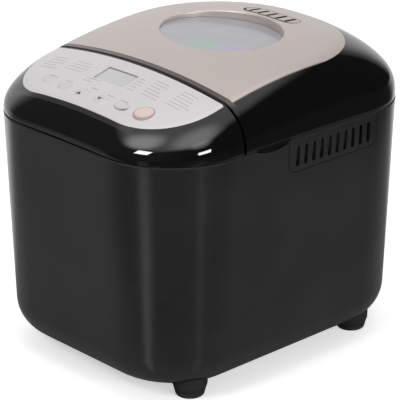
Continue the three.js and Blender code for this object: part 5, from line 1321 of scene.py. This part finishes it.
def sign_mask(look, shape, x0, y0):
    """A sign: a printed arrow head pointing down or up, or a thin crescent of painted shade."""
    x, y = look.x - x0, (look.y - y0) / math.cos(PANEL_TILT)
    if shape == "crescent":
        # painted shade: a thin crescent along the lower edge of the key's dome, darker to the right
        outer = 1 - ((x / KEY_HALF_X) ** 2 + (y / KEY_HALF_Y) ** 2).root()
        inner = (((x + 1.4) / KEY_HALF_X) ** 2 + ((y - 2.4) / KEY_HALF_Y) ** 2).root() - 1
        return outer.ramp(0.0, 0.06) * inner.ramp(-0.1, 0.3) * (0.5 + x.ramp(0, 6) * 0.4)
    y = (y if shape == "up" else y * -1) + 1.9
    return (4.0 - x.size() * 1.3 - y).ramp(-0.15, 0.15) * y.ramp(-0.15, 0.15)


# The left one of the two time keys points up. Each sign also has its shift from the key's middle.
SIGNS = {
    "time_down": ("up", -1.9, -1.6),
    "time_up": ("down", -2.2, 0.1),
    "crust_colour": ("crescent", 0, 0),
}
# a cap's rings: share of its width, height above the sheet
DOME = (
    (1.0, -0.35), (0.995, -0.12), (0.97, 0.02), (0.9, 0.16), (0.75, 0.29), (0.5, 0.37),
    (0.25, KEY_PROUD),
)
# its stem's rings: how far they stand out round it, height square to the panel
STEM = (KEY_FLANGE, -KEY_DEPTH), (KEY_FLANGE, FLANGE_TOP), (0, FLANGE_TOP)


def dome_ring(number, share, lift):
    """One ring of a cap, lift above the crown's surface."""
    ring = []
    for x, up in key_outline(number, 0, share):
        out = 0.0
        for _ in range(4):
            _, y, z = on_panel(x, up, out)
            out += crown_top(x, y) + lift - z
        ring.append(on_panel(x, up, out))
    return ring


for number, word in enumerate(KEY_WORDS):
    stem = [[on_panel(x, up, z) for x, up in key_outline(number, out)] for out, z in STEM]
    dome = [dome_ring(number, share, lift) for share, lift in DOME]
    cap = smoothed(skinned(word, [*stem, *dome]), 40)
    x = middle_of(f"button_{word}")[0]
    y, slot = key_row_y(x), "panel_grey"
    if word == "start_stop":
        fill, ring = screen(222, 202, 202), screen(180, 104, 110)
        look, colour = key_surface("start_key_plastic", fill, ring, (x, y))
        slot = "start_key"
    else:
        look, colour = key_surface(f"{word}_key_plastic", screen(210, 205, 208))
    if word in SIGNS:
        shape, shift_x, shift_y = SIGNS[word]
        colour = look.tinted(sign_mask(look, shape, x + shift_x, y + shift_y), colour, SIGN_INK_AND_SHADE)
    relief = look.relief(0.004, look.noise(0.8))
    look.shade({"Base Color": colour, "Roughness": 0.4, "Normal": relief})
    fitted(cap, f"key_{word}", f"{word}_key", slot, look, f"button_{word}")

# ---- display
# A clear lens sits a little way down in the overlay's window, over the grey-green liquid crystal
# cell that stands on the control board.

lens_look = Surface("display_lens")
# painted shade: the lens turns grey along its edges, where the walls of its recess shade it
edge_x = (lens_look.x - LCD_X).size().ramp(LCD_HALF_X - 1.6, LCD_HALF_X - 0.2)
edge_y = (lens_look.y - LCD_Y).size().ramp(LCD_HALF_Y - 1.6, LCD_HALF_Y - 0.4)
cell_tone = lens_look.tinted(lens_look.noise(22, 1), screen(197, 197, 196), screen(210, 209, 209))
shaded = edge_x.math("MAXIMUM", edge_y) * 0.55
lens_look.shade({
    "Base Color": lens_look.tinted(shaded, cell_tone, screen(140, 140, 140)),
    "Roughness": 0.12 + lens_look.noise(1.5, 4) * 0.05,
    "Coat Weight": 0.5,
    "Normal": lens_look.relief(0.003, lens_look.noise(5, 1)),
})
LENS_THICKNESS = 1.4
lens = panel_column(lcd_outline(-0.15, 1.1), -20, 20)
common(lens, crown_form(drop=LCD_RECESS, bottom=SEAM_Z))
cut(lens, crown_form(drop=LCD_RECESS + LENS_THICKNESS, bottom=SEAM_Z - 1))
smoothed(lens, 28)
fitted(lens, "display_window", "housing", "display_lens", lens_look, "lcd_lens")

# ---- lid frame
# The rest of the crown is the lid: a polished black frame with a wide opening for the panel.
# Posts inside it hold the liner, a curved lip under each side gives a grip, and ears at the back
# carry the hinge pins.

PANEL_SHARE, PANEL_THICKNESS = 0.8, 2
PANEL_FRONT_Y = LID_FRONT_Y + 5.1
PANEL_HALF_X = HALF_WIDTH - SIDE_SHOULDER * PANEL_SHARE
GLASS_LOW, GLASS_HIGH = corners_of("window_glass")
GLASS_THICKNESS, COLLAR_WALL = 3, 2.2
WINDOW_Y = middle_of("window_glass")[1]
WINDOW_HALF_X = GLASS_HIGH.x - COLLAR_WALL
WINDOW_HALF_Y = (GLASS_HIGH.y - GLASS_LOW.y) / 2 - COLLAR_WALL
WINDOW_SIDES, WINDOW_RIM = 160, 2.2
RECESS_FRONT, RECESS_REAR = 0.8, 8.7
CARRIER_WALL, CARRIER_FLOOR, DUCT_WALL, WINDOW_LEDGE = 1.5, 3, 2, 5
LINER_LOW, LINER_HIGH = corners_of("lid_liner")
VENT_Y = middle_of("lid_vent_insert")[1]
VENT_LENGTH, VENT_WIDTH = 69, 20


def panel_outline(margin=0):
    half_x = PANEL_HALF_X - margin
    rear = REAR_Y - REAR_SHOULDER * PANEL_SHARE - margin
    radius = crown_radius(CROWN_REAR_RADIUS, PANEL_SHARE) - margin
    small = SHARP_CORNER
    x, y = half_x - small, PANEL_FRONT_Y + margin + small
    return [
        *arc(x, y, small, -90, 0, 8), *arc(half_x - radius, rear - radius, radius, 0, 90),
        *arc(radius - half_x, rear - radius, radius, 90, 180), *arc(-x, y, small, 180, 270, 8),
    ]


def window_oval(grow):
    return oval(0, WINDOW_Y, WINDOW_HALF_X + grow, WINDOW_HALF_Y + grow, WINDOW_SIDES)


def window_column(grow, low=LINER_LOW.z - 1):
    return column(window_oval(grow), low, ABOVE)


def window_flare(radius):
    """A tool that rounds over the rim of the window's opening."""
    quarter = [math.pi / 2 * k / 6 for k in range(7)]
    profile = [(radius * (1 - math.cos(a)), radius * (math.sin(a) - 1)) for a in quarter]
    return skinned("window_flare", [
        [(x, y, crown_top(x, y) + lift) for x, y in window_oval(grow)]
        for grow, lift in [(0, -3 * radius), *profile, (2 * radius, radius)]
    ])


def glass_plane(y, drop):
    """Height of the glass, which sinks into the lid from its front edge to its rear edge."""
    front, rear = WINDOW_Y - WINDOW_HALF_Y, WINDOW_Y + WINDOW_HALF_Y
    front_z, rear_z = crown_top(0, front) - RECESS_FRONT, crown_top(0, rear) - RECESS_REAR
    return front_z + (rear_z - front_z) * (y - front) / (rear - front) - drop


def above_glass(drop):
    y0, y1, top = WINDOW_Y - 110, WINDOW_Y + 110, ABOVE + 20
    side = [(y0, glass_plane(y0, drop)), (y1, glass_plane(y1, drop)), (y1, top), (y0, top)]
    return skinned("above_glass", [[(x, y, z) for y, z in side] for x in (-130, 130)])


def vent_outline(grow=0, forward=0):
    radius = VENT_WIDTH / 2 + grow
    x, y = (VENT_LENGTH - VENT_WIDTH) / 2, VENT_Y - forward
    return [*arc(x, y, radius, -90, 90), *arc(-x, y, radius, 90, 270)]


lid = common(crown_form(rim_round=CROWN_RIM_ROUND), behind(LID_FRONT_Y))
underside = crown_form(inset=WALL, drop=SKIN, bottom=SEAM_Z - WALL)
cut(lid, common(underside, behind(LID_FRONT_Y + WALL)))
cut(lid, crown_slab(panel_outline(-0.2), -2, PANEL_THICKNESS + 0.1))
post_foot = LINER_HIGH.z + GAP
for x in (-94, 94):
    for y in (CHAMBER_LOW.y + 15.5, CHAMBER_HIGH.y - 15.5):
        under_panel = crown_form(drop=PANEL_THICKNESS + GAP)
        fused(lid, common(post(4, x, y, post_foot, ABOVE), under_panel))
grip = column(housing_ring(SEAM_Z), SEAM_Z - 4, SEAM_Z + WALL)
cut(grip, column(housing_ring(SEAM_Z, WALL), 0, ABOVE))
fused(lid, common(grip, notch_tool(NOTCH_RADIUS - 1.7)))
cut(lid, window_column(COLLAR_WALL + CARRIER_WALL + GAP, SEAM_Z - 4))
cut(lid, crown_slab(vent_outline(GAP), -2, 3.8), column(vent_outline(-2), SEAM_Z, ABOVE))
cut(lid, block((-84, HINGE_Y - 20, 0), (84, FAR, SEAM_Z + 3.5)))
for side in (-1, 1):
    reach, x = LUG_WIDTH / 2 + GAP, side * HINGE_X
    top = HINGE_Z + HINGE_RADIUS + 1
    cut(lid, block((x - reach, HINGE_Y - 9, 0), (x + reach, FAR, top)))
    for end in (-1, 1):
        x0 = x + end * (reach + EAR_WIDTH / 2) - EAR_WIDTH / 2
        x1 = x0 + EAR_WIDTH
        ear = block((x0, HINGE_Y - 9, HINGE_Z), (x1, HINGE_Y + 3, HINGE_Z + 12))
        fused(lid, fused(ear, hinge_rod(HINGE_RADIUS, x0, x1)))
    cut(lid, hinge_rod(1.7, x - 25, x + 25))
smoothed(lid, 28)
fitted(lid, "lid_shell", "lid", "gloss_black", piano_black, "lid_frame")

# ---- lid panel
# A metal-look panel in champagne lacquer covers the lid. It is moulded in one piece with the
# collar that runs down to the sunken glass, and its edge is rounded over. Its side edges are
# painted a darker brown for the shade that falls on their roll.

champagne = Surface("champagne_lacquer")
sparkle = champagne.facets(0.3)
drift = champagne.noise(70, 2)
# painted shade: the last millimetre of each side edge turns a darker brown
edge_shade = champagne.x.size().ramp(PANEL_HALF_X - 1.2, PANEL_HALF_X - 0.5)
rubbed = champagne.noise(3.0, 6, (1, 0.2, 1)).ramp(0.62, 0.85)
darker = champagne.tinted(edge_shade, screen(195, 184, 180), screen(112, 100, 84))
lighter = champagne.tinted(edge_shade, screen(208, 198, 194), screen(140, 128, 110))
champagne.shade({
    "Base Color": champagne.tinted(sparkle * 0.4 + drift * 0.4, darker, lighter),
    "Metallic": 0.35,
    "Roughness": 0.4 + sparkle * 0.08 - rubbed * 0.05,
    "Normal": champagne.relief(0.004, champagne.noise(0.7, 2)),
})

glass_space = cut(window_column(COLLAR_WALL + GAP), above_glass(-GAP))
collar = common(window_column(COLLAR_WALL), crown_form(), above_glass(-GAP))
panel = fused(cut(crown_slab(panel_outline(), 0, PANEL_THICKNESS), glass_space), collar)
vent_hole = column(vent_outline(0.45, 0.7), SEAM_Z, ABOVE)
cut(panel, window_column(0), window_flare(WINDOW_RIM), vent_hole)
smoothed(panel, 28, bevel=0.5, steps=3)
fitted(panel, "lid_panel", "lid", "lid_champagne", champagne, "lid_top_panel")

# ---- window
# A thick oval of coated glass lies on the carrier, a black moulded ring whose duct runs down to
# the liner. The glass is level with the panel in front and sunk behind.

carrier = window_column(COLLAR_WALL + CARRIER_WALL)
common(carrier, above_glass(GLASS_THICKNESS + CARRIER_FLOOR))
fused(carrier, window_column(DUCT_WALL - WINDOW_LEDGE))
common(carrier, crown_form(drop=PANEL_THICKNESS + GAP, bottom=post_foot))
glass_pocket = common(window_column(COLLAR_WALL + GAP), above_glass(GLASS_THICKNESS + 0.1))
cut(carrier, window_column(-WINDOW_LEDGE, 0), glass_pocket)
smoothed(carrier, bevel=0.3)
fitted(carrier, "glass_carrier", "lid", "inner_plastic", moulded_black, "window_carrier")

# The glass's pale colour is painted reflection of the bright studio: the coating reflects green
# to the left and violet to the right, and pale grey near the front.
glass_look = Surface("coated_glass")
film = glass_look.x + glass_look.y * 0.6 + glass_look.noise(38, 1) * 20
painted_reflection_tint = glass_look.tinted(film.ramp(24, 50), screen(168, 193, 182), screen(183, 178, 207))
# painted reflection: a pale grey patch near the front of the glass
front_reflection_patch = glass_look.y.ramp(24, -6) * (glass_look.x - 34).size().ramp(48, 18)
mist = glass_look.noise(16, 4)
glass_look.shade({
    "Base Color": glass_look.tinted(front_reflection_patch * 0.8, screen(184, 183, 188), painted_reflection_tint),
    "Roughness": 0.12 + mist * 0.08,
    "Alpha": 0.8 + mist * 0.12,
    "Specular IOR Level": 0.25,
    "Normal": glass_look.relief(0.004, glass_look.noise(25, 1)),
})
glass = common(window_column(COLLAR_WALL - 0.05), above_glass(GLASS_THICKNESS))
smoothed(cut(glass, above_glass(0)), bevel=0.4)
fitted(glass, "window_pane", "lid", "window_glass", glass_look, "window_glass")

# ---- lid vent
# A capsule-shaped insert in the panel's colour snaps in behind the window. Five slots across it
# let the steam out. Their walls are painted in shade, and a painted shadow line shows round its
# edge, widest along the front.

VENT_SLOTS, VENT_PITCH = 5, 12
vent_look = Surface("vent_insert_plastic")
vent_grain = vent_look.noise(0.5, 3)
nearest_slot = (vent_look.x / VENT_PITCH + 0.5).math("FLOOR") * VENT_PITCH
off_slot = (vent_look.x - nearest_slot).size()
off_middle = (vent_look.y - VENT_Y).size()
# painted shade on the walls of the slots
slot_wall_shade = off_slot.ramp(2.0, 1.92) * off_middle.ramp(7.6, 7.5)
off_end = (vent_look.x.size() - 24.5).math("MAXIMUM", 0)
from_spine = (off_end ** 2 + off_middle ** 2).root()
# painted shadow line round the edge, widest along the front
front_edge = from_spine.ramp(7.9, 8.3) * vent_look.y.ramp(VENT_Y + 2, VENT_Y - 3)
edge_shadow = from_spine.ramp(9.2, 9.45).math("MAXIMUM", front_edge)
vent_paint = vent_grain * 0.5 + vent_look.noise(12) * 0.5
vent_paint = vent_look.tinted(vent_paint, screen(186, 176, 172), screen(200, 190, 186))
in_shadow = slot_wall_shade.math("MAXIMUM", edge_shadow)
vent_look.shade({
    "Base Color": vent_look.tinted(in_shadow, vent_paint, screen(44, 40, 39)),
    "Metallic": 0.3,
    "Roughness": 0.42 + vent_grain * 0.08,
    "Normal": vent_look.relief(0.006, vent_grain),
})
vent = crown_slab(vent_outline(-0.5), 0.15, 3.5)
for k in range(VENT_SLOTS):
    x = VENT_PITCH * (k - 2)
    cut(vent, block((x - 1.9, VENT_Y - 7.4, SEAM_Z), (x + 1.9, VENT_Y + 7.2, ABOVE), 1.5))
smoothed(vent, bevel=0.35)
fitted(vent, "vent_insert", "lid", "vent_plastic", vent_look, "lid_vent_insert")

# ---- lid liner, gasket and pins
# A pressed aluminium liner closes the lid's underside; its upper face is painted dark for the
# shade seen through the vent's slots and the window. A silicone gasket round it rests on the deck.
# Two steel pins join the lid's ears to the deck.

liner_sheet = Surface("pressed_aluminium")
brushing = liner_sheet.noise(0.8, 4, (0.05, 1, 1))
# painted shade: the liner's upper face is near black
painted_dark_top = liner_sheet.z.ramp(LINER_HIGH.z - 0.4, LINER_HIGH.z - 0.1)
bare_metal = liner_sheet.tinted(brushing, screen(172, 173, 175), screen(204, 205, 206))
liner_sheet.shade({
    "Base Color": liner_sheet.tinted(painted_dark_top, bare_metal, screen(26, 25, 25)),
    "Metallic": 0.85,
    "Roughness": 0.32 + brushing * 0.12,
    "Normal": liner_sheet.relief(0.006, brushing),
})
liner = deck_opening(8, LINER_LOW.z, LINER_HIGH.z)
cut(liner, window_column(-WINDOW_LEDGE, 0))
smoothed(liner, bevel=0.3)
fitted(liner, "liner_sheet", "lid", "cast_aluminium", liner_sheet, "lid_liner")

low_z, high_z = (corner.z for corner in corners_of("lid_gasket"))
gasket = cut(deck_opening(6, low_z, high_z), deck_opening(1))
smoothed(gasket, bevel=1.4, steps=4)
fitted(gasket, "gasket_ring", "lid", "silicone", silicone, "lid_gasket")

for word, side in SIDES:
    x = side * HINGE_X
    pin = smoothed(hinge_rod(1.6, x - 16, x + 16, 32), bevel=0.35)
    fitted(pin, f"pin_{word}", "housing", "zinc_steel", ground, f"hinge_pin_{word}")

# ---- boards and mains parts
# The control board hangs under the bezel and carries the key switches and the display's frame.
# The power board and the motor's capacitor stand on the chassis, and a rubber gland closes the
# hole in the rear wall where the mains lead goes in.


def board_look(name, solder_size):
    """Green laminate with faint tracks under the varnish."""
    look = Surface(name)
    lines = (look.x * 1.6).math("SINE") * (look.z * 1.3 + look.y * 0.9).math("SINE")
    lines = lines.ramp(0.2, 0.32)
    dots = (0.3 - look.cells(solder_size)).ramp(0, 0.05)
    laminate = look.tinted(lines * 0.5, screen(38, 88, 58), screen(66, 118, 78))
    look.shade({
        "Base Color": look.tinted(dots * 0.8, laminate, screen(190, 190, 186)),
        "Metallic": dots * 0.7,
        "Roughness": 0.38 + look.noise(3, 3) * 0.12,
        "Normal": look.relief(0.03, lines + dots),
    })
    return look


def copied(node):
    """The shape of a CAD node with its loose triangles joined."""
    piece = bpy.data.objects.new(node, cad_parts[node].data.copy())
    bpy.context.scene.collection.objects.link(piece)
    choose(piece)
    bpy.ops.object.mode_set(mode="EDIT")
    bpy.ops.mesh.select_all(action="SELECT")
    bpy.ops.mesh.remove_doubles(threshold=0.001 * MM)
    bpy.ops.mesh.dissolve_limited(angle_limit=math.radians(0.5))
    bpy.ops.object.mode_set(mode="OBJECT")
    return piece


laminate = board_look("control_laminate", 4.2)
control = smoothed(copied("control_board"), bevel=0.15)
fitted(control, "control_card", "housing", "circuit_board", laminate, "control_board")

module = smoothed(copied("lcd_module"), bevel=0.3)
fitted(module, "display_frame", "housing", "inner_plastic", moulded_black, "lcd_module")

laminate = board_look("power_laminate", 6.5)
power = smoothed(copied("power_board"), bevel=0.5)
fitted(power, "power_card", "housing", "circuit_board", laminate, "power_board")

low, top = (corner.z for corner in corners_of("motor_capacitor"))
x, y, _ = middle_of("motor_capacitor")
capacitor = turned("capacitor", (
    (12.5, low), (14, low + 1.5), (14, top - 6), (13.2, top - 5), (13.2, top - 4), (14, top - 3),
    (14, top - 1.5), (12.8, top - 0.3), (11.5, top), (11, top - 1.2),
), x, y)
smoothed(capacitor, bevel=0.2)
fitted(capacitor, "start_capacitor", "housing", "inner_plastic", moulded_black, "motor_capacitor")

inner_y, outer_y = (corner.y for corner in corners_of("cord_gland"))
wall_y = REAR_Y - WALL_LEAN * (SEAM_Z - GLAND_Z)
gland = rod(7, (GLAND_X, inner_y, GLAND_Z), (GLAND_X, outer_y, GLAND_Z), 64)
fused(gland, rod(9, (GLAND_X, wall_y + 0.65, GLAND_Z), (GLAND_X, outer_y, GLAND_Z), 64))
cut(gland, rod(3.5, (GLAND_X, 0, GLAND_Z), (GLAND_X, FAR, GLAND_Z), 40))
smoothed(gland, bevel=0.7, steps=3)
fitted(gland, "lead_gland", "housing", "foot_rubber", rubber, "cord_gland")
